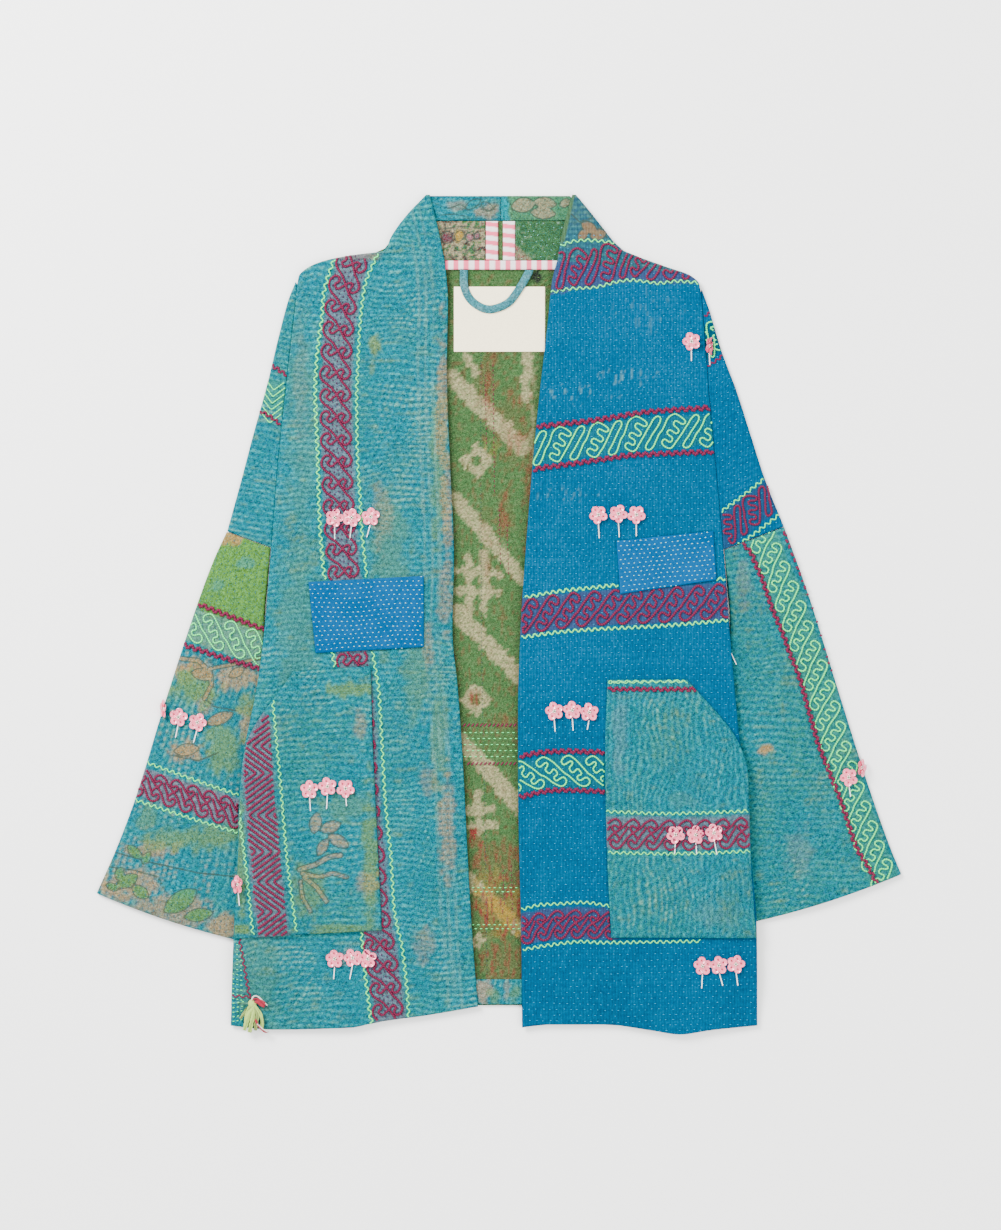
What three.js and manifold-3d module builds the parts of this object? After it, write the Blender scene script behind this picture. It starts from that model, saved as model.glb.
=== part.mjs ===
// Open-front quilted patchwork jacket with sequin flowers, laid on its back with its front up.
// Millimetres, +Z up, +Y towards the collar. The origin is on the floor, midway between the
// cuffs and midway between collar and hem. Right and left are the wearer's, so the right front
// lies at -X. Every cloth piece is a closed wall, and pieces sewn together lie a hair apart.
import * as THREE from "three";
import Module from "manifold-3d";
import { mergeVertices } from "three/addons/utils/BufferGeometryUtils.js";

// Cloth and seams
const SHELL = 2.4; // quilted patchwork: two worn sari layers with rag wadding
const SLEEVE_WALL = 2.2;
const POCKET_WALL = 2.2;
const PATCH_WALL = 1.2;
const FACING_WALL = 1.5;
const BINDING_WALL = 2.0;
const TAPE_WALL = 1.0;
const COLLAR_STAND = 3.6; // the collar band, turned double
const SEAM = 0.3; // gap between pieces that are sewn to each other
const ARMHOLE_SEAM = 0.6;
const ON_QUILT = 1.1; // from a panel's middle surface to a piece that lies on its ridges

// Quilting: rows of running stitch, each leaving a ridge of cloth
const QUILT_PITCH = 6.4;
const QUILT_DEPTH = 0.35;
const PATCH_PITCH = 4.6;
const ROWS_PER_RIB = 2;
const PLAIN_ROW = 25; // cells of the plain inside of a pocket or patch
const PLAIN_COLUMN = 12.5;
const RIDGE_ROWS = 8; // fine rows of the ridged face to each row of the plain inside

// Lengths of the body, on the floor
const HEM_BASE = -400;
const COLLAR_TOP = 419.2;
const BACK_HEM = -390.5;
const HEM_BEND = 100; // height over which the rows bend to the hem's wave

// The body lies on the sleeves' inner folds: shares across a front, from side to centre
const OVER_SLEEVE = 0.12;
const DOWN_TO_FLOOR = 0.33;
const BODY_COLUMNS = [0, OVER_SLEEVE, DOWN_TO_FLOOR, 0.55, 0.78, 1];
const SLEEVE_FOLD = 4.8; // height of a sleeve pressed flat at its folds
const SLEEVE_LOFT = 1.8; // how much higher its middle lies
const BODY_RISE = 5.4;
const SIDE_GAP = 0.4; // front over back at the side seam
const FRONT_GAP = 1.6; // and away from it
const COLLAR_LIFT = 1.8; // the fronts pass over the neck facing and its binding

// The body rises over the sleeves, a row for each change of slope
const RISE = [
  { y: HEM_BASE, rise: 0 },
  { y: -348.8, rise: 1 },
  { y: 9.6, rise: 1 },
  { y: 60.8, rise: 0 },
];

const LIFT = [
  { y: 295, lift: 0 },
  { y: 335, lift: 1 },
  { y: 396, lift: 1 },
  { y: 414, lift: 0 },
];

// Wearer's right front with its grown-on collar, a row for each section: side edge, then
// shoulder and collar fold, against the centre edge
const RIGHT_FRONT = [
  { y: -400, side: -268, centre: -21 },
  { y: -315, side: -264.5, centre: -27 },
  { y: -228, side: -260.5, centre: -32 },
  { y: -165, side: -258, centre: -35 },
  { y: -131, side: -253.5, centre: -37 },
  { y: -75, side: -242, centre: -41 },
  { y: -15, side: -234, centre: -46.5 },
  { y: 55, side: -228.5, centre: -45 },
  { y: 155, side: -220.5, centre: -49 },
  { y: 245, side: -211, centre: -52 },
  { y: 314, side: -203, centre: -51 },
  { y: 337.5, side: -200, centre: -52.5 },
  { y: 345, side: -193, centre: -53.5 },
  { y: 352.5, side: -177, centre: -54 },
  { y: 358.5, side: -149, centre: -55.5 },
  { y: 363.5, side: -113, centre: -56.5 },
  { y: 374.5, side: -109, centre: -58.5 },
  { y: 384, side: -103.5, centre: -60.5 },
  { y: 402.5, side: -89, centre: -65 },
  { y: 414.5, side: -77.5, centre: -68 },
  { y: 419.2, side: -73, centre: -69 },
];

// Wearer's left front with its grown-on collar
const LEFT_FRONT = [
  { y: -400, side: 258, centre: 23 },
  { y: -310, side: 257, centre: 22 },
  { y: -235, side: 251, centre: 20 },
  { y: -160, side: 248.5, centre: 19 },
  { y: -128, side: 240.5, centre: 19 },
  { y: -95, side: 237, centre: 19 },
  { y: -15, side: 230, centre: 21.5 },
  { y: 55, side: 225, centre: 26 },
  { y: 155, side: 216, centre: 34 },
  { y: 225, side: 209.5, centre: 41 },
  { y: 285, side: 205, centre: 48 },
  { y: 329.5, side: 200, centre: 52.5 },
  { y: 338, side: 192, centre: 54 },
  { y: 347.5, side: 166, centre: 56.5 },
  { y: 355, side: 145, centre: 58.5 },
  { y: 361.5, side: 127, centre: 59.5 },
  { y: 372.5, side: 114, centre: 61.5 },
  { y: 383, side: 106, centre: 63.5 },
  { y: 404.5, side: 89, centre: 69 },
  { y: 419.2, side: 77, centre: 73 },
];

// Neckline of the back, under the collar
const BACK_NECK = [
  { y: 337.5, right: -200, left: 192.5 },
  { y: 352.5, right: -177, left: 151 },
  { y: 363.5, right: -113, left: 121 },
  { y: 378, right: -98, left: 101 },
  { y: 388, right: -86, left: 88 },
  { y: 393.2, right: -74, left: 74 },
];

// The hems as they lie
const RIGHT_HEM = [
  { x: -270, y: -410.5 },
  { x: -224, y: -414.5 },
  { x: -149, y: -412.5 },
  { x: -119, y: -406.5 },
  { x: -74, y: -400.5 },
  { x: -21, y: -391.5 },
];

const LEFT_HEM = [
  { x: 23, y: -412.5 },
  { x: 46, y: -409.5 },
  { x: 106, y: -409.5 },
  { x: 151, y: -415 },
  { x: 181, y: -419.2 },
  { x: 211, y: -415 },
  { x: 258, y: -410.5 },
];

// Soft swells of the fronts: reach across and along, turn in degrees, height
const SWELLS = [
  { x: -150, y: 240, across: 42, along: 110, turn: 6, height: 1.7 },
  { x: -96, y: 60, across: 40, along: 130, turn: -4, height: 1.4 },
  { x: -84, y: -220, across: 38, along: 120, turn: 5, height: 1.9 },
  { x: -150, y: -385, across: 36, along: 62, turn: 0, height: 1.6 },
  { x: 140, y: 225, across: 44, along: 110, turn: -8, height: 1.8 },
  { x: 96, y: -10, across: 38, along: 120, turn: 4, height: 1.5 },
  { x: 62, y: -250, across: 34, along: 120, turn: 0, height: 1.7 },
  { x: 178, y: -390, across: 38, along: 60, turn: 0, height: 2.0 },
];

// Sleeves, a row for each section at a share of the length: the outer fold, then the inner
// fold. An upper sleeve's inner edge is the armhole, which runs beside the body.
const RIGHT_UPPER_SLEEVE = [
  { share: 0, outerX: -206.6, outerY: 328, innerY: 325 },
  { share: 0.06, outerX: -210.4, outerY: 314.5, innerY: 310 },
  { share: 0.22, outerX: -221, outerY: 274.5, innerY: 268 },
  { share: 0.38, outerX: -230.5, outerY: 234.5, innerY: 226 },
  { share: 0.62, outerX: -247, outerY: 174.5, innerY: 164 },
  { share: 0.78, outerX: -257.5, outerY: 134.5, innerY: 122 },
  { share: 1, outerX: -271.6, outerY: 83.1, innerY: 67.1 },
];

const LEFT_UPPER_SLEEVE = [
  { share: 0, outerX: 204.6, outerY: 319, innerY: 314 },
  { share: 0.06, outerX: 210, outerY: 304.5, innerY: 300 },
  { share: 0.2, outerX: 222, outerY: 264.5, innerY: 262 },
  { share: 0.36, outerX: 237.5, outerY: 223, innerY: 216 },
  { share: 0.56, outerX: 253, outerY: 174.5, innerY: 161 },
  { share: 0.74, outerX: 266, outerY: 134.5, innerY: 116 },
  { share: 1, outerX: 284.6, outerY: 87.9, innerY: 64.9 },
];

const RIGHT_LOWER_SLEEVE = [
  { share: 0, outerX: -272, outerY: 82.6, innerX: -228.5, innerY: 66.6 },
  { share: 0.08, outerX: -285, outerY: 54.5, innerX: -230.9, innerY: 36 },
  { share: 0.19, outerX: -300, outerY: 14.5, innerX: -234.2, innerY: -8 },
  { share: 0.46, outerX: -333, outerY: -85.5, innerX: -231, innerY: -115 },
  { share: 0.73, outerX: -364, outerY: -185.5, innerX: -236, innerY: -222 },
  { share: 0.88, outerX: -383, outerY: -235.5, innerX: -237.5, innerY: -283 },
  { share: 1, outerX: -402, outerY: -278.5, innerX: -238.5, innerY: -330.5 },
];

const LEFT_LOWER_SLEEVE = [
  { share: 0, outerX: 284.8, outerY: 87.4, innerX: 225.4, innerY: 64.4 },
  { share: 0.09, outerX: 297, outerY: 54.5, innerX: 227.8, innerY: 32 },
  { share: 0.21, outerX: 311, outerY: 14.5, innerX: 230.6, innerY: -8 },
  { share: 0.49, outerX: 342, outerY: -85.5, innerX: 223, innerY: -112 },
  { share: 0.78, outerX: 374, outerY: -185.5, innerX: 227, innerY: -222 },
  { share: 0.92, outerX: 392, outerY: -235.5, innerX: 231, innerY: -282 },
  { share: 1, outerX: 402, outerY: -259.5, innerX: 234.5, innerY: -311.5 },
];

const UPPER_LENGTH = 256;
const LOWER_LENGTH = 384;
const CUFF_BOW = 4.5; // the cuff bows out below the line between its corners

// Section of a sleeve from its inner side round the outer fold: share across, distance in from
// the fold on the outside and on the inside of the wall, and level from floor to top
const FOLD_INSET = 1.5;
const HOLLOW_INSET = SLEEVE_WALL + 0.3;
const TUBE_TOP = [
  { share: 1, edge: -FOLD_INSET, hollow: -HOLLOW_INSET, level: 1 },
  { share: 0.75, edge: 0, hollow: 0, level: 1 },
  { share: 0.5, edge: 0, hollow: 0, level: 1 },
  { share: 0.25, edge: 0, hollow: 0, level: 1 },
  { share: 0, edge: FOLD_INSET, hollow: HOLLOW_INSET, level: 1 },
];
const TUBE_REST = [
  { share: 0, edge: 0, hollow: SLEEVE_WALL, level: 0.5 },
  { share: 0, edge: FOLD_INSET, hollow: HOLLOW_INSET, level: 0 },
  { share: 0.5, edge: 0, hollow: 0, level: 0 },
  { share: 1, edge: -FOLD_INSET, hollow: -HOLLOW_INSET, level: 0 },
  { share: 1, edge: 0, hollow: -SLEEVE_WALL, level: 0.5 },
];
const OPEN_TOP = [
  { share: 1, edge: 0, hollow: 0, level: 1 },
  { share: 0.5, edge: 0, hollow: 0.6, level: 1 },
  { share: 0, edge: FOLD_INSET, hollow: HOLLOW_INSET, level: 1 },
];
const OPEN_REST = [
  { share: 0, edge: 0, hollow: SLEEVE_WALL, level: 0.5 },
  { share: 0, edge: FOLD_INSET, hollow: HOLLOW_INSET, level: 0 },
  { share: 1, edge: 0, hollow: 0, level: 0 },
];

// Pockets and patches on the fronts: outer edge towards the side, inner towards the centre.
// A tilt raises the inner end of the top or bottom edge.
const RIGHT_POCKET = {
  tiltTop: 5,
  tiltBottom: 8,
  rows: [
    { y: -319, outer: -264, inner: -117 },
    { y: -235, outer: -260, inner: -121 },
    { y: -175, outer: -258, inner: -124 },
    { y: -131, outer: -253, inner: -126 },
    { y: -54, outer: -205, inner: -128 },
  ],
};

const LEFT_POCKET = {
  tiltTop: 0,
  tiltBottom: 0,
  rows: [
    { y: -322.5, outer: 256.5, inner: 112 },
    { y: -245, outer: 251, inner: 108 },
    { y: -157, outer: 248, inner: 106 },
    { y: -129, outer: 239.5, inner: 106 },
    { y: -65, outer: 188, inner: 108 },
  ],
};

const RIGHT_PATCH = {
  tiltTop: 6,
  tiltBottom: 6,
  rows: [
    { y: -35.5, outer: -183, inner: -75 },
    { y: 35.5, outer: -190, inner: -75 },
  ],
};

const LEFT_PATCH = {
  tiltTop: -10,
  tiltBottom: -14,
  rows: [
    { y: 27.5, outer: 217, inner: 121 },
    { y: 78.5, outer: 214, inner: 117 },
  ],
};

// Neck, label and hem inside the back
const CENTRE_BACK = 2;
const NECK_SEAM = 393.5;
const STAND_TOP = 418.3;
const STAND_OUTER_LOW = 84;
const STAND_OUTER_TOP = 71;
const FACING = { top: 392.9, bottom: 353.8, outer: 78 };
const STRIPS = { rightOuter: -13, rightInner: -1, leftInner: 4, leftOuter: 16 };
const NECK_BINDING = { left: -60, right: 64, bottom: 344.5, top: 353.5, thick: 2.5 };
const LABEL = { left: -45, right: 46, top: 327.5, bottom: 262.5 };
const HEM_TAPE = { bottom: -389.5, top: -364.5, outer: 0.34, inner: 0.97 };

// Hanger loop: a flat cloth strip from the neck binding, over the label and back
const LOOP_WIDTH = 8;
const LOOP_WALL = 1.6;
const LOOP_FLOOR = 4.0;
const LOOP_STEPS = 28;
const LOOP_LINE = [
  { x: -35, y: 344.1 },
  { x: -34.5, y: 327 },
  { x: -27, y: 313 },
  { x: -11, y: 304.8 },
  { x: 8, y: 310.5 },
  { x: 20, y: 325 },
  { x: 31, y: 344.1 },
];

// Rag tassel at the hem of the right front: strips knotted into one head
const TASSEL_KNOT = { x: -246, y: -388 };
const KNOT_SIZE = { across: 5.5, along: 6, high: 2.3 };
const KNOT_CLEAR = 0.8; // over the quilting, where the front falls away to its hem
const STRIP_WALL = 0.9;
const TASSEL_STRIPS = [
  { endX: -232, endY: -391, endZ: 8.9, width: 4.5, bulge: 5 },
  { endX: -230, endY: -397, endZ: 8.5, width: 3.5, bulge: 2 },
  { endX: -259, endY: -404, endZ: 7.6, width: 4, bulge: -1 },
  { endX: -255, endY: -412, endZ: 7.1, width: 4.5, bulge: -2 },
  { endX: -250, endY: -418, endZ: 5.2, width: 4.5, bulge: -1 },
  { endX: -243, endY: -415, endZ: 7.4, width: 4.5, bulge: 1 },
  { endX: -237, endY: -413, endZ: 7.6, width: 4, bulge: 2 },
  { endX: -231, endY: -416.5, endZ: 7.4, width: 3.5, bulge: 3 },
];

const COLOURS = {
  teal: 0x4795a3,
  blue: 0x0b79aa,
  brightBlue: 0x1590d2,
  green: 0x6f9a63,
  leaf: 0x7a9a62,
  tan: 0xa59a7c,
  darkGreen: 0x44704a,
  gingham: 0xe9ced2,
  cream: 0xeee9de,
  loop: 0x4f9db0,
  rag: 0xb9c06a,
};

const clamp01 = (value) => Math.min(1, Math.max(0, value));
const mix = (a, b, share) => a + (b - a) * share;
const steps = (count) => Array.from({ length: count + 1 }, (_, i) => i / count);

// Value of a table's column at a place, along straight lines between its rows
function ramp(rows, key, column, place) {
  if (place <= rows[0][key]) return rows[0][column];
  for (let i = 1; i < rows.length; i += 1) {
    if (place <= rows[i][key]) {
      const share = (place - rows[i - 1][key]) / (rows[i][key] - rows[i - 1][key]);
      return mix(rows[i - 1][column], rows[i][column], share);
    }
  }
  return rows[rows.length - 1][column];
}

// The same along a smooth line that never overshoots its rows
function flow(table, key, column, place) {
  const last = table.length - 1;
  const slope = (i) => (table[i + 1][column] - table[i][column]) / (table[i + 1][key] - table[i][key]);
  const tangent = (i) => {
    if (i === 0) return slope(0);
    if (i === last) return slope(last - 1);
    const before = slope(i - 1);
    const after = slope(i);
    return before * after > 0 ? (2 * before * after) / (before + after) : 0;
  };
  const at = Math.min(table[last][key], Math.max(table[0][key], place));
  let i = 0;
  while (i < last - 1 && at > table[i + 1][key]) i += 1;
  const span = table[i + 1][key] - table[i][key];
  const t = (at - table[i][key]) / span;
  const start = table[i][column];
  const end = table[i + 1][column];
  return (
    start * (1 + 2 * t) * (1 - t) ** 2 +
    tangent(i) * span * t * (1 - t) ** 2 +
    end * t * t * (3 - 2 * t) -
    tangent(i + 1) * span * t * t * (1 - t)
  );
}

// A closed solid gathered from nets of points and the bridges between them
class Wall {
  constructor() {
    this.points = [];
    this.faces = [];
  }

  net(rows, columns, place) {
    return rows.map((row) =>
      columns.map((column) => {
        this.points.push(...place(row, column));
        return this.points.length / 3 - 1;
      }),
    );
  }

  quad(a, b, c, d) {
    this.faces.push(a, b, c, a, c, d);
  }

  cover(net, turned = false) {
    for (let i = 0; i + 1 < net.length; i += 1) {
      for (let j = 0; j + 1 < net[i].length; j += 1) {
        const corners = [net[i][j], net[i][j + 1], net[i + 1][j + 1], net[i + 1][j]];
        if (turned) this.faces.push(corners[0], corners[2], corners[1], corners[0], corners[3], corners[2]);
        else this.quad(...corners);
      }
    }
  }

  // Triangles between two chains that run the same way, one of them with more points
  bridge(near, far) {
    let i = 0;
    let j = 0;
    while (i + 1 < near.length || j + 1 < far.length) {
      const nearNext = (i + 1) / (near.length - 1);
      const farNext = (j + 1) / (far.length - 1);
      if (j + 1 < far.length && (i + 1 >= near.length || farNext <= nearNext)) {
        this.faces.push(near[i], far[j], far[j + 1]);
        j += 1;
      } else {
        this.faces.push(near[i], far[j], near[i + 1]);
        i += 1;
      }
    }
  }

  geometry() {
    const at = (i) => new THREE.Vector3(...this.points.slice(3 * i, 3 * i + 3));
    let volume = 0;
    for (let f = 0; f < this.faces.length; f += 3) {
      const [a, b, c] = [at(this.faces[f]), at(this.faces[f + 1]), at(this.faces[f + 2])];
      volume += a.dot(b.cross(c));
    }
    const faces = volume < 0 ? this.faces.slice().reverse() : this.faces;
    const geometry = new THREE.BufferGeometry();
    geometry.setAttribute("position", new THREE.Float32BufferAttribute(this.points, 3));
    geometry.setIndex(faces);
    geometry.computeVertexNormals();
    return geometry;
  }
}

// The four edges of a net, walked round it one way
function edges(net) {
  const column = (j) => net.map((row) => row[j]);
  const last = net[0].length - 1;
  return [net[0], column(last), [...net[net.length - 1]].reverse(), column(0).reverse()];
}

// A sheet with a face above and a plainer face below
function sheet(top, bottom) {
  const wall = new Wall();
  const upper = wall.net(top.rows, top.columns, top.place);
  const lower = wall.net(bottom.rows, bottom.columns, bottom.place);
  wall.cover(upper);
  wall.cover(lower, true);
  const around = edges(lower);
  edges(upper).forEach((edge, i) => wall.bridge(edge, around[i]));
  return wall.geometry();
}

// A flat strip or piece of even thickness between two heights
function flatPiece(rows, columns, outline, floor, thick) {
  return sheet(
    { rows, columns, place: (row, column) => [...outline(row, column), floor + thick] },
    { rows, columns, place: (row, column) => [...outline(row, column), floor] },
  );
}

function rectangle(left, right, bottom, top, floor, thick) {
  const outline = (v, u) => [mix(left, right, u), mix(bottom, top, v)];
  return flatPiece([0, 1], [0, 1], outline, floor, thick);
}

// Heights of the body's layers, at a share from side (0) to centre (1) and a length
function rise(share, y) {
  const across = clamp01((DOWN_TO_FLOOR - share) / (DOWN_TO_FLOOR - OVER_SLEEVE));
  return BODY_RISE * across * ramp(RISE, "y", "rise", y);
}

function swell(x, y, share) {
  const edge = clamp01(share / OVER_SLEEVE) * clamp01((1 - share) / OVER_SLEEVE);
  return SWELLS.reduce((sum, row) => {
    const turn = THREE.MathUtils.degToRad(row.turn);
    const across = (x - row.x) * Math.cos(turn) + (y - row.y) * Math.sin(turn);
    const along = (y - row.y) * Math.cos(turn) - (x - row.x) * Math.sin(turn);
    return sum + row.height * edge * Math.exp(-((across / row.across) ** 2) - (along / row.along) ** 2);
  }, 0);
}

const backTop = (share, y) => SHELL + rise(share, y);

function frontFloor(share, x, y) {
  const gap = mix(SIDE_GAP, FRONT_GAP, clamp01(share / OVER_SLEEVE));
  return backTop(share, y) + gap + COLLAR_LIFT * ramp(LIFT, "y", "lift", y) + swell(x, y, share);
}

const frontX = (table, share, y) => mix(flow(table, "y", "side", y), flow(table, "y", "centre", y), share);

function frontShare(table, x, y) {
  const side = flow(table, "y", "side", y);
  return clamp01((x - side) / (flow(table, "y", "centre", y) - side));
}

const ridge = (row, depth) => (row % ROWS_PER_RIB ? depth : -depth);

// Front panel and collar in one cloth: quilting ridges above, a plain inside below
function frontPanel(table, hem) {
  const coarse = Math.round((COLLAR_TOP - HEM_BASE) / (QUILT_PITCH / ROWS_PER_RIB) / RIDGE_ROWS);
  const fine = coarse * RIDGE_ROWS;
  const columns = table[0].side < 0 ? BODY_COLUMNS : [...BODY_COLUMNS].reverse();
  const place = (part, share, up, depth) => {
    const base = mix(HEM_BASE, COLLAR_TOP, part);
    const x = frontX(table, share, base);
    const bend = clamp01((HEM_BASE + HEM_BEND - base) / HEM_BEND) ** 2;
    const y = base + (flow(hem, "x", "y", x) - HEM_BASE) * bend;
    const inside = share > 0 && share < 1 ? 1 : 0;
    return [x, y, frontFloor(share, x, base) + up + depth * inside];
  };
  const fineRows = Array.from({ length: fine + 1 }, (_, i) => i);
  return sheet(
    {
      rows: fineRows,
      columns,
      place: (row, share) => place(row / fine, share, SHELL, row % fine ? ridge(row, QUILT_DEPTH) : 0),
    },
    { rows: steps(coarse), columns, place: (part, share) => place(part, share, 0, 0) },
  );
}

// Back panel: flat on the floor, over the sleeves' inner folds at both sides
function backPanel() {
  const coarse = 32;
  const shared = steps(coarse).map((part) => mix(HEM_BASE, COLLAR_TOP, part));
  const rows = [BACK_HEM, ...shared.filter((y) => y > BACK_HEM && y < NECK_SEAM - SHELL), NECK_SEAM - SEAM];
  const columns = [
    ...BODY_COLUMNS.map((share) => ({ share, table: RIGHT_FRONT, neck: "right" })),
    ...[...BODY_COLUMNS].reverse().map((share) => ({ share, table: LEFT_FRONT, neck: "left" })),
  ];
  const place = (up) => (y, { share, table, neck }) => {
    const side = y < BACK_NECK[0].y ? flow(table, "y", "side", y) : ramp(BACK_NECK, "y", neck, y);
    const x = mix(side, flow(table, "y", "centre", y), share);
    return [x, y, rise(share, y) + up];
  };
  return sheet({ rows, columns, place: place(SHELL) }, { rows, columns, place: place(0) });
}

// Sleeve pressed flat. A closed one is a tube from seam to cuff; an open one is folded over
// the arm and ends at the armhole, where the body's edge meets it.
function sleeve(table, length, body) {
  const closed = !body;
  const top = closed ? TUBE_TOP : OPEN_TOP;
  const rest = closed ? TUBE_REST : OPEN_REST;
  const coarse = Math.round(length / (QUILT_PITCH / ROWS_PER_RIB) / RIDGE_ROWS);
  const fine = coarse * RIDGE_ROWS;
  const place = (part, column, inward, depth) => {
    const at = (key) => flow(table, "share", key, part);
    const outer = new THREE.Vector2(at("outerX"), at("outerY"));
    const innerY = at("innerY");
    const armhole = closed ? 0 : flow(body, "y", "side", innerY);
    const innerX = closed ? at("innerX") : armhole + Math.sign(armhole) * ARMHOLE_SEAM;
    const inner = new THREE.Vector2(innerX, innerY);
    const across = inner.clone().sub(outer).normalize();
    const point = outer.clone().lerp(inner, column.share);
    point.addScaledVector(across, inward ? column.hollow : column.edge);
    const hump = 4 * column.share * (1 - column.share);
    const loft = closed ? SLEEVE_LOFT * hump * clamp01((0.8 - column.share) / 0.3) : 0;
    const bow = closed ? CUFF_BOW * hump * part ** 3 : 0;
    const height = SLEEVE_FOLD + loft;
    const z = inward
      ? mix(SLEEVE_WALL, height - SLEEVE_WALL, column.level)
      : mix(0, height, column.level);
    return [point.x, point.y - bow, z + depth];
  };
  const wall = new Wall();
  const inside = (column) => column.share > 0 && column.share < 1;
  const ridged = (row, column) => {
    const depth = row % fine && inside(column) ? ridge(row, QUILT_DEPTH) : 0;
    return place(row / fine, column, false, depth);
  };
  const upper = wall.net(Array.from({ length: fine + 1 }, (_, i) => i), top, ridged);
  const under = wall.net(steps(coarse), rest, (part, column) => place(part, column, false, 0));
  const lining = wall.net(steps(coarse), [...top, ...rest], (part, column) => place(part, column, true, 0));
  const column = (net, j) => net.map((row) => row.at(j));
  wall.cover(upper);
  wall.bridge(column(upper, -1), column(under, 0));
  wall.cover(under);
  wall.cover(lining, true);
  if (closed) {
    wall.bridge(column(under, -1), column(upper, 0));
    wall.bridge(column(lining, 0), column(lining, -1));
  } else {
    wall.bridge(column(lining, 0), column(upper, 0));
    wall.bridge(column(under, -1), column(lining, -1));
  }
  [0, -1].forEach((end) => {
    const outside = [...upper.at(end), ...under.at(end)];
    const within = lining.at(end);
    const count = closed ? outside.length : outside.length - 1;
    for (let k = 0; k < count; k += 1) {
      const next = (k + 1) % outside.length;
      if (end === 0) wall.quad(outside[next], outside[k], within[k], within[next]);
      else wall.quad(outside[k], outside[next], within[next], within[k]);
    }
  });
  return wall.geometry();
}

// A pocket or patch made from its front's own points, moved out. Its ridges run across it,
// or up it where the cloth was cut the other way.
function onFront(table, piece, thick, pitch, upright = false) {
  const { rows: outline, tiltTop, tiltBottom } = piece;
  const low = outline[0].y;
  const high = outline[outline.length - 1].y;
  const ribs = Math.round((high - low) / (pitch / ROWS_PER_RIB));
  const width = Math.abs(outline[0].inner - outline[0].outer);
  const columns = Math.round(width / (pitch / ROWS_PER_RIB));
  const leftToRight = table[0].side < 0;
  const place = (part, share, up) => {
    const base = mix(low, high, part);
    const outer = flow(outline, "y", "outer", base);
    const inner = flow(outline, "y", "inner", base);
    const x = leftToRight ? mix(outer, inner, share) : mix(inner, outer, share);
    const inwards = leftToRight ? share : 1 - share;
    const y = base + mix(tiltBottom, tiltTop, part) * (inwards - 0.5);
    const across = frontShare(table, x, y);
    return [x, y, frontFloor(across, x, y) + SHELL + ON_QUILT + up];
  };
  const even = (count) => Array.from({ length: count + 1 }, (_, i) => i);
  const plain = {
    rows: steps(Math.ceil((high - low) / PLAIN_ROW)),
    columns: steps(Math.ceil(width / PLAIN_COLUMN)),
    place: (part, share) => place(part, share, 0),
  };
  if (upright) {
    const lines = 8;
    const ridged = (row, column) => {
      const depth = column % columns && row % lines ? ridge(column, QUILT_DEPTH) : 0;
      return place(row / lines, column / columns, thick + depth);
    };
    return sheet({ rows: even(lines), columns: even(columns), place: ridged }, plain);
  }
  const lines = 5;
  const ridged = (row, column) => {
    const depth = row % ribs && column % lines ? ridge(row, QUILT_DEPTH) : 0;
    return place(row / ribs, column / lines, thick + depth);
  };
  return sheet({ rows: even(ribs), columns: even(lines), place: ridged }, plain);
}

// Half of the collar band behind the neck
function collarStand(sign) {
  const outline = (v, u) => {
    const outer = sign * mix(STAND_OUTER_LOW, STAND_OUTER_TOP, v);
    const inner = CENTRE_BACK + (sign * SEAM) / 2;
    return [sign < 0 ? mix(outer, inner, u) : mix(inner, outer, u), mix(NECK_SEAM, STAND_TOP, v)];
  };
  return flatPiece(steps(2), steps(4), outline, 0, COLLAR_STAND);
}

// Turned tape along the back's hem, on the back's own points
function hemTape() {
  const { bottom, top, outer, inner } = HEM_TAPE;
  const rightHalf = [outer, 0.55, 0.78, inner].map((share) => ({ share, table: RIGHT_FRONT }));
  const leftHalf = [...rightHalf].reverse().map(({ share }) => ({ share, table: LEFT_FRONT }));
  const columns = [...rightHalf, ...leftHalf];
  const place = (up) => (y, { share, table }) => [
    frontX(table, share, y),
    y,
    backTop(share, y) + SEAM + up,
  ];
  const rows = [bottom, top];
  return sheet({ rows, columns, place: place(TAPE_WALL) }, { rows, columns, place: place(0) });
}

function hangerLoop() {
  const line = new THREE.CatmullRomCurve3(LOOP_LINE.map(({ x, y }) => new THREE.Vector3(x, y, 0)));
  const outline = (part, side) => {
    const point = line.getPointAt(part);
    const along = line.getTangentAt(part);
    const offset = LOOP_WIDTH * (side - 0.5);
    const level = part === 0 || part === 1 ? point.y : point.y - along.x * offset;
    return [point.x + along.y * offset, level];
  };
  return flatPiece(steps(LOOP_STEPS), [0, 1], outline, LOOP_FLOOR, LOOP_WALL);
}

const wasm = await Module();
wasm.setup();

function toManifold(geometry) {
  const bare = geometry.clone();
  bare.deleteAttribute("normal");
  if (bare.attributes.uv) bare.deleteAttribute("uv");
  const merged = mergeVertices(bare);
  const vertProperties = new Float32Array(merged.attributes.position.array);
  const triVerts = new Uint32Array(merged.index.array);
  return new wasm.Manifold(new wasm.Mesh({ numProp: 3, vertProperties, triVerts }));
}

function fromManifold(solid) {
  const { vertProperties, triVerts } = solid.getMesh();
  const geometry = new THREE.BufferGeometry();
  geometry.setAttribute("position", new THREE.BufferAttribute(new Float32Array(vertProperties), 3));
  geometry.setIndex(new THREE.BufferAttribute(new Uint32Array(triVerts), 1));
  geometry.computeVertexNormals();
  return geometry;
}

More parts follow.
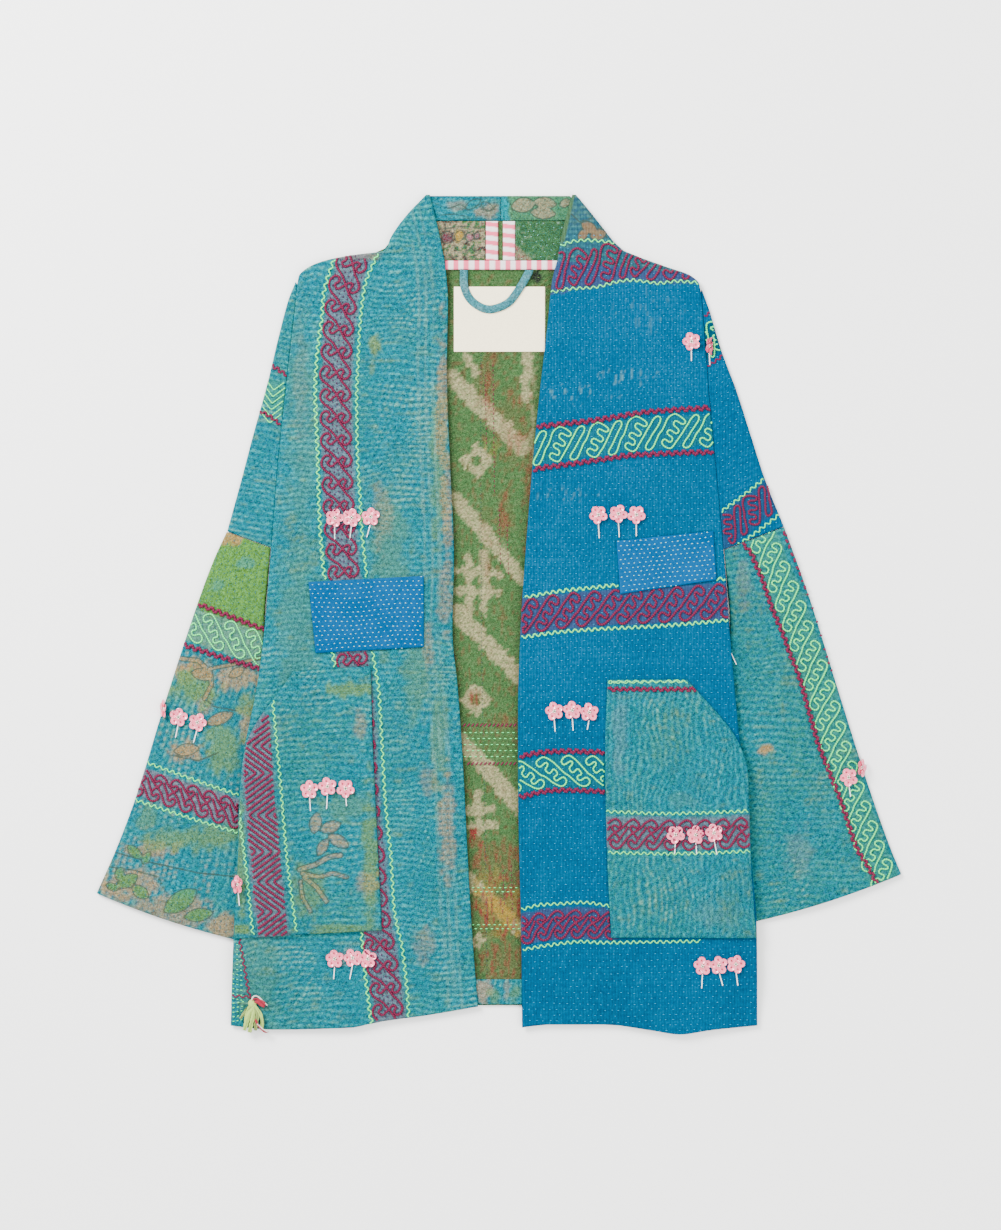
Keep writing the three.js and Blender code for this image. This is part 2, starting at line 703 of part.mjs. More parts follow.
// One rag strip from inside the knot to its free end, bulging to one side
function tasselStrip({ endX, endY, endZ, width, bulge }, z) {
  const { x, y } = TASSEL_KNOT;
  const reach = new THREE.Vector2(endX - x, endY - y);
  const across = new THREE.Vector2(-reach.y, reach.x).normalize();
  const place = (up) => (part, side) => {
    const spread = width * (side - 0.5) * mix(0.5, 1, part) + bulge * Math.sin(Math.PI * part);
    const height = mix(z, endZ, part ** 3) - STRIP_WALL / 2;
    return [x + reach.x * part + across.x * spread, y + reach.y * part + across.y * spread, height + up];
  };
  const nets = { rows: steps(4), columns: [0, 1] };
  return sheet({ ...nets, place: place(STRIP_WALL) }, { ...nets, place: place(0) });
}

function tassel() {
  const { x, y } = TASSEL_KNOT;
  const cloth = frontFloor(frontShare(RIGHT_FRONT, x, y), x, y) + SHELL + QUILT_DEPTH;
  const z = cloth + KNOT_CLEAR + KNOT_SIZE.high;
  const knot = new THREE.SphereGeometry(1, 10, 6);
  knot.scale(KNOT_SIZE.across, KNOT_SIZE.along, KNOT_SIZE.high);
  knot.translate(x, y, z);
  const strips = TASSEL_STRIPS.map((row) => toManifold(tasselStrip(row, z)));
  return fromManifold(strips.reduce((solid, strip) => solid.add(strip), toManifold(knot)));
}

const part = new THREE.Group();
part.name = "sequin_jacket";

function sew(name, geometry, color, roughness = 0.9) {
  const mesh = new THREE.Mesh(geometry, new THREE.MeshStandardMaterial({ color, roughness, metalness: 0 }));
  mesh.name = name;
  part.add(mesh);
}

const ON_BACK = SHELL + SEAM;

sew("back_panel", backPanel(), COLOURS.green);
sew("front_right", frontPanel(RIGHT_FRONT, RIGHT_HEM), COLOURS.teal);
sew("front_left", frontPanel(LEFT_FRONT, LEFT_HEM), COLOURS.blue);
sew("sleeve_upper_right", sleeve(RIGHT_UPPER_SLEEVE, UPPER_LENGTH, RIGHT_FRONT), COLOURS.teal);
sew("sleeve_upper_left", sleeve(LEFT_UPPER_SLEEVE, UPPER_LENGTH, LEFT_FRONT), COLOURS.blue);
sew("sleeve_lower_right", sleeve(RIGHT_LOWER_SLEEVE, LOWER_LENGTH), COLOURS.leaf);
sew("sleeve_lower_left", sleeve(LEFT_LOWER_SLEEVE, LOWER_LENGTH), COLOURS.teal);
sew("collar_back_right", collarStand(-1), COLOURS.teal);
sew("collar_back_left", collarStand(1), COLOURS.green);
sew(
  "neck_facing_right",
  rectangle(-FACING.outer, STRIPS.rightOuter - SEAM, FACING.bottom, FACING.top, ON_BACK, FACING_WALL),
  COLOURS.tan,
);
sew(
  "neck_facing_left",
  rectangle(STRIPS.leftOuter + SEAM, FACING.outer, FACING.bottom, FACING.top, ON_BACK, FACING_WALL),
  COLOURS.darkGreen,
);
sew(
  "seam_binding_right",
  rectangle(STRIPS.rightOuter, STRIPS.rightInner, FACING.bottom, FACING.top, ON_BACK, BINDING_WALL),
  COLOURS.gingham,
);
sew(
  "seam_binding_left",
  rectangle(STRIPS.leftInner, STRIPS.leftOuter, FACING.bottom, FACING.top, ON_BACK, BINDING_WALL),
  COLOURS.gingham,
);
const { left, right, bottom, top, thick } = NECK_BINDING;
sew("neck_binding", rectangle(left, right, bottom, top, ON_BACK, thick), COLOURS.gingham);
sew(
  "label",
  rectangle(LABEL.left, LABEL.right, LABEL.bottom, LABEL.top, ON_BACK, TAPE_WALL),
  COLOURS.cream,
);
sew("hanger_loop", hangerLoop(), COLOURS.loop);
sew("back_hem_tape", hemTape(), COLOURS.teal);
sew("pocket_right", onFront(RIGHT_FRONT, RIGHT_POCKET, POCKET_WALL, QUILT_PITCH), COLOURS.teal);
sew("pocket_left", onFront(LEFT_FRONT, LEFT_POCKET, POCKET_WALL, QUILT_PITCH, true), COLOURS.teal);
sew("patch_right", onFront(RIGHT_FRONT, RIGHT_PATCH, PATCH_WALL, PATCH_PITCH), COLOURS.brightBlue);
sew("patch_left", onFront(LEFT_FRONT, LEFT_PATCH, PATCH_WALL, PATCH_PITCH), COLOURS.brightBlue);
sew("tassel", tassel(), COLOURS.rag);

export default part;
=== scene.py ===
"""Open-front quilted patchwork jacket with embroidered bands and sequin flowers, laid flat.

Places and sizes are in millimetres on the floor's plane and turned to metres as a mesh is made.
Right and left are the wearer's: the right front lies at -X.
"""

from math import atan2, cos, pi, radians, sin

import bpy
import numpy as np
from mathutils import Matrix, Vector
from mathutils.bvhtree import BVHTree


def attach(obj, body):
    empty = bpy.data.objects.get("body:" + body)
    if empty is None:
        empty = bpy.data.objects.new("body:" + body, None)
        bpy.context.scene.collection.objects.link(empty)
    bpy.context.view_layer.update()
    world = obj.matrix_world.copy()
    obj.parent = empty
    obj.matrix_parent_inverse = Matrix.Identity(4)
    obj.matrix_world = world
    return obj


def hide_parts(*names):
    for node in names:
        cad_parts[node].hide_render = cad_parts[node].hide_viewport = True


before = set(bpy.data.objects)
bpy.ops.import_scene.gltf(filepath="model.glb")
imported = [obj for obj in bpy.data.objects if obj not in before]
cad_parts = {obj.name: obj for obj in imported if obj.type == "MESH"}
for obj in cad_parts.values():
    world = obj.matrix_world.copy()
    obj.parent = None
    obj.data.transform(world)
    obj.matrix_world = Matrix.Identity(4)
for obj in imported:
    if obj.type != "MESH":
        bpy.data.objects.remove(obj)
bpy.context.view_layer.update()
MM = 0.001

# Thickness of each cloth's wall, and gaps at the seams
SHELL = 2.4
SLEEVE_WALL = 2.2
POCKET_WALL = 2.2
PATCH_WALL = 1.2
FACING_WALL = 1.5
BINDING_WALL = 2.0
TAPE_WALL = 1.0
COLLAR_STAND = 3.6
NECK_BINDING_WALL = 2.5
SEAM = 0.3
ARMHOLE_SEAM = 0.2
ON_QUILT = 1.1  # from a panel's middle surface to what lies on its ridges
ON_BACK = SHELL + SEAM

# Quilting by hand: rows of running stitch with a puckered ridge between them
ROW_PITCH = 5.5
STITCH_PITCH = 6.8
STITCH_JITTER = 0.13
RIDGE_HEIGHT = 1.0
PATCH_ROW_PITCH = 4.6
EDGE_ROW_PITCH = 7.2  # of the three straight rows beside the right front's edge

# Mesh steps, and the rounding of turned edges
ACROSS_RIDGES = 1.5
ALONG_RIDGES = 2.3
UNDERSIDE_ROW = 8.0
EDGE_ROUND = 2.0
EDGE_OFFSETS = (0.0, 0.35, 1.0)

# Body
HEM_BASE = -400.0
COLLAR_TOP = 419.2
BACK_HEM = -390.5
HEM_BEND = 100.0
FRONT_WIDTH = 215
OVER_SLEEVE = 0.12  # share of a front's width, from its side, that lies on the sleeve's fold
DOWN_TO_FLOOR = 0.33  # share from which the body lies on the floor
SLEEVE_FOLD = 4.8
SLEEVE_LOFT = 1.8
FOLD_ROUND = 3.4
BODY_RISE = 5.4
RISE_TOP, RISE_RUN = 60.8, 51.2  # where the body's rise over a sleeve ends, and how long each end of it is
SIDE_GAP = 0.4
FRONT_GAP = 1.6
COLLAR_LIFT = 1.8
LIFT_FROM, LIFT_TO = 295, 414
LIFT_RUN_IN, LIFT_RUN_OUT = 40, 18
UPPER_LENGTH = 256
LOWER_LENGTH = 384
CUFF_BOW = 4.5
NECK_SEAM = 393.5
STAND_TOP = 418.3
STAND_FOOT_END, STAND_TOP_END = 84, 71
STAND_LENGTH, STAND_HEIGHT = 75, 25  # for the mesh's steps
CENTRE_BACK = 2.0


def table(columns, *rows):
    """Named columns of a small table, each as an array."""
    return dict(zip(columns.split(), np.array(rows, float).T))


RIGHT_FRONT = table(
    "y side centre",
    (-400, -268, -21),
    (-315, -264.5, -27),
    (-228, -260.5, -32),
    (-165, -258, -35),
    (-131, -253.5, -37),
    (-75, -242, -41),
    (-15, -234, -46.5),
    (55, -228.5, -45),
    (155, -220.5, -49),
    (245, -211, -52),
    (314, -203, -51),
    (337.5, -200, -52.5),
    (345, -193, -53.5),
    (352.5, -177, -54),
    (358.5, -149, -55.5),
    (363.5, -113, -56.5),
    (374.5, -109, -58.5),
    (384, -103.5, -60.5),
    (402.5, -89, -65),
    (414.5, -77.5, -68),
    (419.2, -73, -69),
)
LEFT_FRONT = table(
    "y side centre",
    (-400, 258, 23),
    (-310, 257, 22),
    (-235, 251, 20),
    (-160, 248.5, 19),
    (-128, 240.5, 19),
    (-95, 237, 19),
    (-15, 230, 21.5),
    (55, 225, 26),
    (155, 216, 34),
    (225, 209.5, 41),
    (285, 205, 48),
    (329.5, 200, 52.5),
    (338, 192, 54),
    (347.5, 166, 56.5),
    (355, 145, 58.5),
    (361.5, 127, 59.5),
    (372.5, 114, 61.5),
    (383, 106, 63.5),
    (404.5, 89, 69),
    (419.2, 77, 73),
)
BACK_NECK = table(
    "y right left",
    (337.5, -200, 192.5),
    (352.5, -177, 151),
    (363.5, -113, 121),
    (378, -98, 101),
    (388, -86, 88),
    (393.2, -74, 74),
)
RIGHT_HEM = table(
    "x y",
    (-270, -410.5),
    (-224, -414.5),
    (-149, -412.5),
    (-119, -406.5),
    (-74, -400.5),
    (-21, -391.5),
)
LEFT_HEM = table(
    "x y",
    (23, -412.5),
    (46, -409.5),
    (106, -409.5),
    (151, -415),
    (181, -419.2),
    (211, -415),
    (258, -410.5),
)
SWELLS = (  # x, y, reach across, reach along, turn in degrees, height
    (-150, 240, 42, 110, 6, 1.7),
    (-96, 60, 40, 130, -4, 1.4),
    (-84, -220, 38, 120, 5, 1.9),
    (-150, -385, 36, 62, 0, 1.6),
    (140, 225, 44, 110, -8, 1.8),
    (96, -10, 38, 120, 4, 1.5),
    (62, -250, 34, 120, 0, 1.7),
    (178, -390, 38, 60, 0, 2.0),
)
SLEEVES = {
    "sleeve_upper_right": table(
        "share outer_x outer_y inner_y",
        (0, -203.2, 332.5, 329),
        (0.06, -210.4, 314.5, 310),
        (0.22, -221, 274.5, 268),
        (0.38, -230.5, 234.5, 226),
        (0.62, -247, 174.5, 164),
        (0.78, -257.5, 134.5, 122),
        (1, -271.6, 83.1, 67.1),
    ),
    "sleeve_upper_left": table(
        "share outer_x outer_y inner_y",
        (0, 202.6, 325, 321),
        (0.06, 210, 304.5, 300),
        (0.2, 222, 264.5, 262),
        (0.36, 237.5, 223, 216),
        (0.56, 253, 174.5, 161),
        (0.74, 266, 134.5, 116),
        (1, 284.6, 87.9, 64.9),
    ),
    "sleeve_lower_right": table(
        "share outer_x outer_y inner_x inner_y",
        (0, -272, 82.6, -228.5, 66.6),
        (0.08, -285, 54.5, -230.9, 36),
        (0.19, -300, 14.5, -234.2, -8),
        (0.46, -333, -85.5, -231, -115),
        (0.73, -364, -185.5, -236, -222),
        (0.88, -383, -235.5, -237.5, -283),
        (1, -402, -278.5, -238.5, -330.5),
    ),
    "sleeve_lower_left": table(
        "share outer_x outer_y inner_x inner_y",
        (0, 284.8, 87.4, 225.4, 64.4),
        (0.09, 297, 54.5, 227.8, 32),
        (0.21, 311, 14.5, 230.6, -8),
        (0.49, 342, -85.5, 223, -112),
        (0.78, 374, -185.5, 227, -222),
        (0.92, 392, -235.5, 231, -282),
        (1, 402, -259.5, 234.5, -311.5),
    ),
}
RIGHT_POCKET = table(
    "y outer inner",
    (-319, -264, -117),
    (-235, -260, -121),
    (-175, -258, -124),
    (-131, -253, -126),
    (-54, -205, -128),
)
LEFT_POCKET = table(
    "y outer inner",
    (-322.5, 256.5, 112),
    (-245, 251, 108),
    (-157, 248, 106),
    (-129, 239.5, 106),
    (-65, 188, 108),
)
RIGHT_PATCH = table("y outer inner", (-35.5, -183, -75), (35.5, -190, -75))
LEFT_PATCH = table("y outer inner", (27.5, 217, 121), (78.5, 214, 117))
FACING_BOTTOM, FACING_TOP, FACING_OUTER = 353.8, 392.9, 78
STRIP_EDGES = {"seam_binding_right": (-13, -1), "seam_binding_left": (4, 16)}
NECK_BINDING = (-60, 64, 344.5, 353.5)
LABEL = (-45, 46, 262.5, 327.5)
HEM_TAPE_BOTTOM, HEM_TAPE_TOP = -389.5, -364.5
HEM_TAPE_SHARES = (0.34, 0.45, 0.55, 0.66, 0.78, 0.88, 0.97)
LOOP_WIDTH, LOOP_FLOOR = 8.0, 4.0
LOOP_LINE = ((-35, 344.1), (-34.5, 327), (-27, 313), (-11, 304.8), (8, 310.5), (20, 325), (31, 344.1))


# Smooth lines and soft noise
def clamp01(value):
    return np.clip(value, 0.0, 1.0)


def soften(value):
    value = clamp01(value)
    return value * value * (3 - 2 * value)


def mix(a, b, share):
    return a + (b - a) * share


def flow(rows, key, column, place):
    """Value of a table's column along a smooth line that never overshoots its rows."""
    x, y = rows[key], rows[column]
    slope = np.diff(y) / np.diff(x)
    before, after = slope[:-1], slope[1:]
    same = before * after > 0
    tangent = np.concatenate([slope[:1], np.zeros(len(before)), slope[-1:]])
    tangent[1:-1][same] = 2 * before[same] * after[same] / (before[same] + after[same])
    at = np.clip(place, x[0], x[-1])
    i = np.clip(np.searchsorted(x, at) - 1, 0, len(x) - 2)
    span = x[i + 1] - x[i]
    t = (at - x[i]) / span
    return (
        y[i] * (1 + 2 * t) * (1 - t) ** 2
        + tangent[i] * span * t * (1 - t) ** 2
        + y[i + 1] * t * t * (3 - 2 * t)
        - tangent[i + 1] * span * t * t * (1 - t)
    )


def cloud(x, y, size, seed):
    """Soft random field from -1 to 1 whose lumps are about size across."""
    lattice = np.random.default_rng(seed).uniform(-1, 1, (97, 97))
    u, v = np.asarray(x) / size + 500.3, np.asarray(y) / size + 500.7
    i, j = np.floor(u).astype(int), np.floor(v).astype(int)
    s, t = soften(u - i), soften(v - j)
    near = mix(lattice[i % 97, j % 97], lattice[(i + 1) % 97, j % 97], s)
    far = mix(lattice[i % 97, (j + 1) % 97], lattice[(i + 1) % 97, (j + 1) % 97], s)
    return mix(near, far, t)


# Quilting
class Quilting:
    """Rows of running stitch at an angle to X, wavering as hand sewing does."""

    def __init__(self, turn, seed, pitch=ROW_PITCH, stitch=STITCH_PITCH, height=RIDGE_HEIGHT, waver=1.0):
        self.turn, self.seed, self.pitch = radians(turn), seed, pitch
        self.stitch, self.height, self.waver = stitch, height, waver

    def turned(self, x, y):
        return x * cos(self.turn) + y * sin(self.turn), y * cos(self.turn) - x * sin(self.turn)

    def drift(self, along, across):
        slow = 5.2 * cloud(along, across, 44, self.seed)
        quick = 1.7 * cloud(along, across, 10, self.seed + 1)
        return self.waver * (slow + quick)

    def relief(self, x, y):
        """0 in a groove to 1 on a ridge, broken into puffs between the stitches."""
        along, across = self.turned(x, y)
        row = (across + self.drift(along, across)) / self.pitch
        ridge = 0.5 - 0.5 * np.cos(2 * pi * row)
        column = along / self.stitch + 0.35 * cloud(along, across, 14, self.seed + 2)
        puff = 0.5 + 0.5 * np.cos(2 * pi * (column + 0.5 * (np.floor(row) % 2)))
        tuck = 0.5 + 0.5 * np.cos(2 * pi * (column + 0.5 * (np.round(row) % 2)))
        crush = 0.8 + 0.2 * cloud(along, across, 23, self.seed + 3)
        ply = 0.14 * cloud(along, across, 3.1, self.seed + 4)
        return clamp01(crush * ridge * (0.64 + 0.36 * puff + ply) + (1 - ridge) * 0.34 * (1 - tuck))

    def rise(self, x, y):
        return self.height * (self.relief(x, y) - 0.25)

    def stitches(self, left, right, low, high, length):
        """Both ends of each running stitch in the grooves over a rectangle."""
        corners = [self.turned(x, y) for x in (left, right) for y in (low, high)]
        alongs, acrosses = zip(*corners)
        rows = np.arange(np.floor(min(acrosses) / self.pitch), np.ceil(max(acrosses) / self.pitch) + 1)
        columns = np.arange(np.floor(min(alongs) / self.stitch), np.ceil(max(alongs) / self.stitch) + 1)
        row, column = [net.ravel() for net in np.meshgrid(rows, columns)]
        rng = np.random.default_rng(self.seed + 9)
        jitter = rng.uniform(-STITCH_JITTER, STITCH_JITTER, row.size)
        along = (column + 0.5 * (row % 2) + jitter) * self.stitch
        reach = length * rng.uniform(0.75, 1.25, row.size) / 2
        ends = []
        for sign in (-1, 1):
            a = along + sign * reach
            across = row * self.pitch
            for _ in range(3):
                across = row * self.pitch - self.drift(a, across)
            x = a * cos(self.turn) - across * sin(self.turn)
            ends.append((x, a * sin(self.turn) + across * cos(self.turn)))
        return np.array(ends).transpose(2, 0, 1)


QUILTS = {
    "front_right": Quilting(0, 11),
    "front_left": Quilting(1, 23, pitch=5.9, height=0.55, waver=0.5),
    "sleeve_upper_right": Quilting(-12, 31),
    "sleeve_upper_left": Quilting(26, 41, pitch=5.9, height=0.5, waver=0.6),
    "sleeve_lower_right": Quilting(76, 53, pitch=6.2, height=0.7),
    "sleeve_lower_left": Quilting(-2, 61, pitch=5.9),
    "back_panel": Quilting(2, 71, pitch=5.9, height=0.5),
    "collar_back_right": Quilting(2, 83, height=0.5),
    "collar_back_left": Quilting(-2, 84, height=0.5),
    "neck_facing_right": Quilting(0, 85, pitch=5.2, height=0.4),
    "neck_facing_left": Quilting(8, 86, pitch=5.2, height=0.4),
    "back_hem_tape": Quilting(90, 87, height=0.3),
    "pocket_right": Quilting(0, 91, height=0.8),
    "pocket_left": Quilting(90, 97, height=0.9, waver=1.5),
    "patch_right": Quilting(2, 101, pitch=PATCH_ROW_PITCH, stitch=5.6, height=0.35, waver=0.35),
    "patch_left": Quilting(6, 107, pitch=PATCH_ROW_PITCH, stitch=5.6, height=0.35, waver=0.35),
}


# Heights of the body's layers
def rise(share, y):
    across = soften((DOWN_TO_FLOOR - share) / (DOWN_TO_FLOOR - OVER_SLEEVE))
    along = soften((y - HEM_BASE) / RISE_RUN) * soften((RISE_TOP - y) / RISE_RUN)
    return BODY_RISE * across * along


def swell(x, y, share):
    edge = clamp01(share / OVER_SLEEVE) * clamp01((1 - share) / OVER_SLEEVE)
    total = 0
    for at_x, at_y, across, along, turn, height in SWELLS:
        c, s = cos(radians(turn)), sin(radians(turn))
        u = ((x - at_x) * c + (y - at_y) * s) / across
        v = ((y - at_y) * c - (x - at_x) * s) / along
        total = total + height * edge * np.exp(-u * u - v * v)
    return total


def back_top(share, y):
    return SHELL + rise(share, y)


def collar_lift(y):
    return COLLAR_LIFT * soften((y - LIFT_FROM) / LIFT_RUN_IN) * soften((LIFT_TO - y) / LIFT_RUN_OUT)


def front_floor(share, x, y):
    gap = mix(SIDE_GAP, FRONT_GAP, clamp01(share / OVER_SLEEVE))
    return back_top(share, y) + gap + collar_lift(y) + swell(x, y, share)


def front_share(rows, x, y):
    side = flow(rows, "y", "side", y)
    return clamp01((x - side) / (flow(rows, "y", "centre", y) - side))


def inward(part, share, length, width):
    """Distance in from a piece's nearest edge."""
    return np.minimum(np.minimum(share, 1 - share) * width, np.minimum(part, 1 - part) * length)


def rounding(distance):
    """Drop of a turned edge at a distance from it."""
    near = clamp01(1 - distance / EDGE_ROUND)
    return 1 - np.sqrt(1 - near * near)


def spaced(length, step, edges=True):
    """Shares along a length, closer together at its turned ends."""
    ends = np.array(EDGE_OFFSETS) if edges else np.array([0.0])
    start = EDGE_ROUND if edges else step
    middle = np.linspace(start, length - start, max(2, round((length - 2 * start) / step)) + 1)
    return np.concatenate([ends, middle, length - ends[::-1]]) / length


# Closed walls of cloth
class Wall:
    """Points and faces of one closed solid, gathered from nets and the bridges between them."""

    def __init__(self):
        self.points, self.faces, self.count = [], [], 0

    def net(self, grid):
        rows, columns = grid.shape[:2]
        self.points.append(grid.reshape(-1, 3))
        index = np.arange(rows * columns).reshape(rows, columns) + self.count
        self.count += rows * columns
        return index

    def cover(self, index, turned=False):
        quads = np.stack([index[:-1, :-1], index[:-1, 1:], index[1:, 1:], index[1:, :-1]], -1).reshape(-1, 4)
        self.faces.extend((quads[:, ::-1] if turned else quads).tolist())

    def bridge(self, near, far):
        """Triangles between two chains that run the same way, whatever their numbers of points."""
        near, far = [int(v) for v in near], [int(v) for v in far]
        i = j = 0
        while i + 1 < len(near) or j + 1 < len(far):
            step_far = (j + 1) / max(1, len(far) - 1) <= (i + 1) / max(1, len(near) - 1)
            if j + 1 < len(far) and (i + 1 >= len(near) or step_far):
                self.faces.append([near[i], far[j], far[j + 1]])
                j += 1
            else:
                self.faces.append([near[i], far[j], near[i + 1]])
                i += 1

    def mesh(self, name):
        points = np.concatenate(self.points)
        fan = [(f[0], f[k], f[k + 1]) for f in self.faces for k in range(1, len(f) - 1)]
        a, b, c = points[np.array(fan).T]
        if np.einsum("ij,ij->i", a, np.cross(b, c)).sum() < 0:
            self.faces = [face[::-1] for face in self.faces]
        mesh = bpy.data.meshes.new(name)
        mesh.from_pydata((points * MM).tolist(), [], self.faces)
        mesh.validate()
        mesh.shade_smooth()
        return mesh


def around(index):
    """The four edges of a net, walked round it one way."""
    return index[0], index[:, -1], index[-1, ::-1], index[::-1, 0]


def sheet(top, under):
    wall = Wall()
    upper, lower = wall.net(top), wall.net(under)
    wall.cover(upper)
    wall.cover(lower, True)
    for near, far in zip(around(upper), around(lower)):
        wall.bridge(near, far)
    return wall


def grid(rows, columns, place, *rest):
    """Net of points from arrays of row and column values."""
    row, column = np.meshgrid(rows, columns, indexing="ij")
    return np.stack(np.broadcast_arrays(*place(row, column, *rest)), -1)


def laid_sheet(place, thick, tops, unders):
    """Sheet from the rows and columns of its upper side, which has the relief, and of its underside."""
    return sheet(grid(*tops, place, thick, True), grid(*unders, place, 0, False))


def front_wall(rows, hem, quilt):
    height = COLLAR_TOP - HEM_BASE
    parts = spaced(height, ACROSS_RIDGES)
    shares = spaced(FRONT_WIDTH, ALONG_RIDGES)

    def place(part, share, up, relief):
        base = mix(HEM_BASE, COLLAR_TOP, part)
        side, centre = flow(rows, "y", "side", base), flow(rows, "y", "centre", base)
        x = mix(side, centre, share)
        bend = clamp01((HEM_BASE + HEM_BEND - base) / HEM_BEND) ** 2
        y = base + (flow(hem, "x", "y", x) - HEM_BASE) * bend
        z = front_floor(share, x, base) + up
        if relief:
            reach = inward(part, share, height, np.abs(centre - side))
            z = z + quilt.rise(x, y) * clamp01(reach / 4) - rounding(reach)
        return x, y, z

    coarse = np.unique(np.concatenate([np.linspace(0, 1, 13), [0.02, 0.98, OVER_SLEEVE, DOWN_TO_FLOOR]]))
    if rows["side"][0] > 0:
        shares, coarse = shares[::-1], coarse[::-1]
    unders = np.linspace(0, 1, round(height / UNDERSIDE_ROW)), coarse
    return laid_sheet(place, SHELL, (parts, shares), unders)


def across_body(y, code, right_side, left_side):
    """Share and place for codes 0 to 1 under the right front, 1 to 2 between them, 2 to 3 under the left."""
    on_right, on_left = code <= 1, code >= 2
    share = np.where(on_right, code, np.where(on_left, 3 - code, 1))
    right, left = flow(RIGHT_FRONT, "y", "centre", y), flow(LEFT_FRONT, "y", "centre", y)
    between = mix(right, left, code - 1)
    under_left = mix(left_side, left, share)
    return share, np.where(on_right, mix(right_side, right, share), np.where(on_left, under_left, between))


def back_wall(quilt):
    """Flat on the floor, over the sleeves' inner folds at both sides."""
    low = [BACK_HEM, BACK_HEM + 0.5, BACK_HEM + 2]
    fine = np.concatenate([low, np.arange(BACK_HEM + 4, NECK_SEAM - 1, 1.9), [NECK_SEAM - SEAM]])
    hidden = [0, 0.02, 0.06, OVER_SLEEVE, 0.16, 0.2, 0.25, 0.29, DOWN_TO_FLOOR, 0.45, 0.6, 0.72]
    seen = np.linspace(0.8, 1, 12)
    middle = np.linspace(0, 1, 34)[1:-1]
    codes = np.array([*hidden, *seen, *(1 + middle), *(3 - seen[::-1]), *(3 - np.array(hidden)[::-1])])

    def edge(rows, neck, y):
        at_neck = np.interp(y, BACK_NECK["y"], BACK_NECK[neck])
        return np.where(y < BACK_NECK["y"][0], flow(rows, "y", "side", y), at_neck)

    def place(y, code, up, relief):
        share, x = across_body(y, code, edge(RIGHT_FRONT, "right", y), edge(LEFT_FRONT, "left", y))
        z = rise(share, y) + up
        if relief:
            open_part = soften((share - 0.75) / 0.1) * soften((337 - y) / 6) * soften((y + 386) / 4)
            under_tape = soften((y - HEM_TAPE_TOP) / 4)
            z = z + quilt.rise(x, y) * open_part * under_tape
        return x, y, z

    middle_rows = np.arange(BACK_HEM + 8, NECK_SEAM - 6, UNDERSIDE_ROW)
    coarse_rows = np.concatenate([[BACK_HEM], middle_rows, [NECK_SEAM - SEAM]])
    return laid_sheet(place, SHELL, (fine, codes), (coarse_rows, codes))


def on_front_wall(rows, outline, tilt_top, tilt_bottom, thick, quilt, upright=False):
    """Pocket or patch made from its front's own surface, moved out."""
    low, high = outline["y"][0], outline["y"][-1]
    width = abs(outline["inner"][0] - outline["outer"][0])
    left_to_right = rows["side"][0] < 0

    def place(part, share, up, relief):
        base = mix(low, high, part)
        outer, inner = flow(outline, "y", "outer", base), flow(outline, "y", "inner", base)
        x = mix(outer, inner, share) if left_to_right else mix(inner, outer, share)
        inwards = share if left_to_right else 1 - share
        y = base + mix(tilt_bottom, tilt_top, part) * (inwards - 0.5)
        z = front_floor(front_share(rows, x, y), x, y) + SHELL + ON_QUILT + up
        if relief:
            reach = inward(part, share, high - low, width)
            soft = min(1.0, thick / 2)
            z = z + quilt.rise(x, y) * clamp01(reach / 3) - soft * rounding(reach)
        return x, y, z

    row_step, column_step = (ALONG_RIDGES, ACROSS_RIDGES) if upright else (ACROSS_RIDGES, ALONG_RIDGES)
    tops = spaced(high - low, row_step), spaced(width, column_step)
    unders = np.linspace(0, 1, round((high - low) / 10)), np.linspace(0, 1, 14)
    return laid_sheet(place, thick, tops, unders)


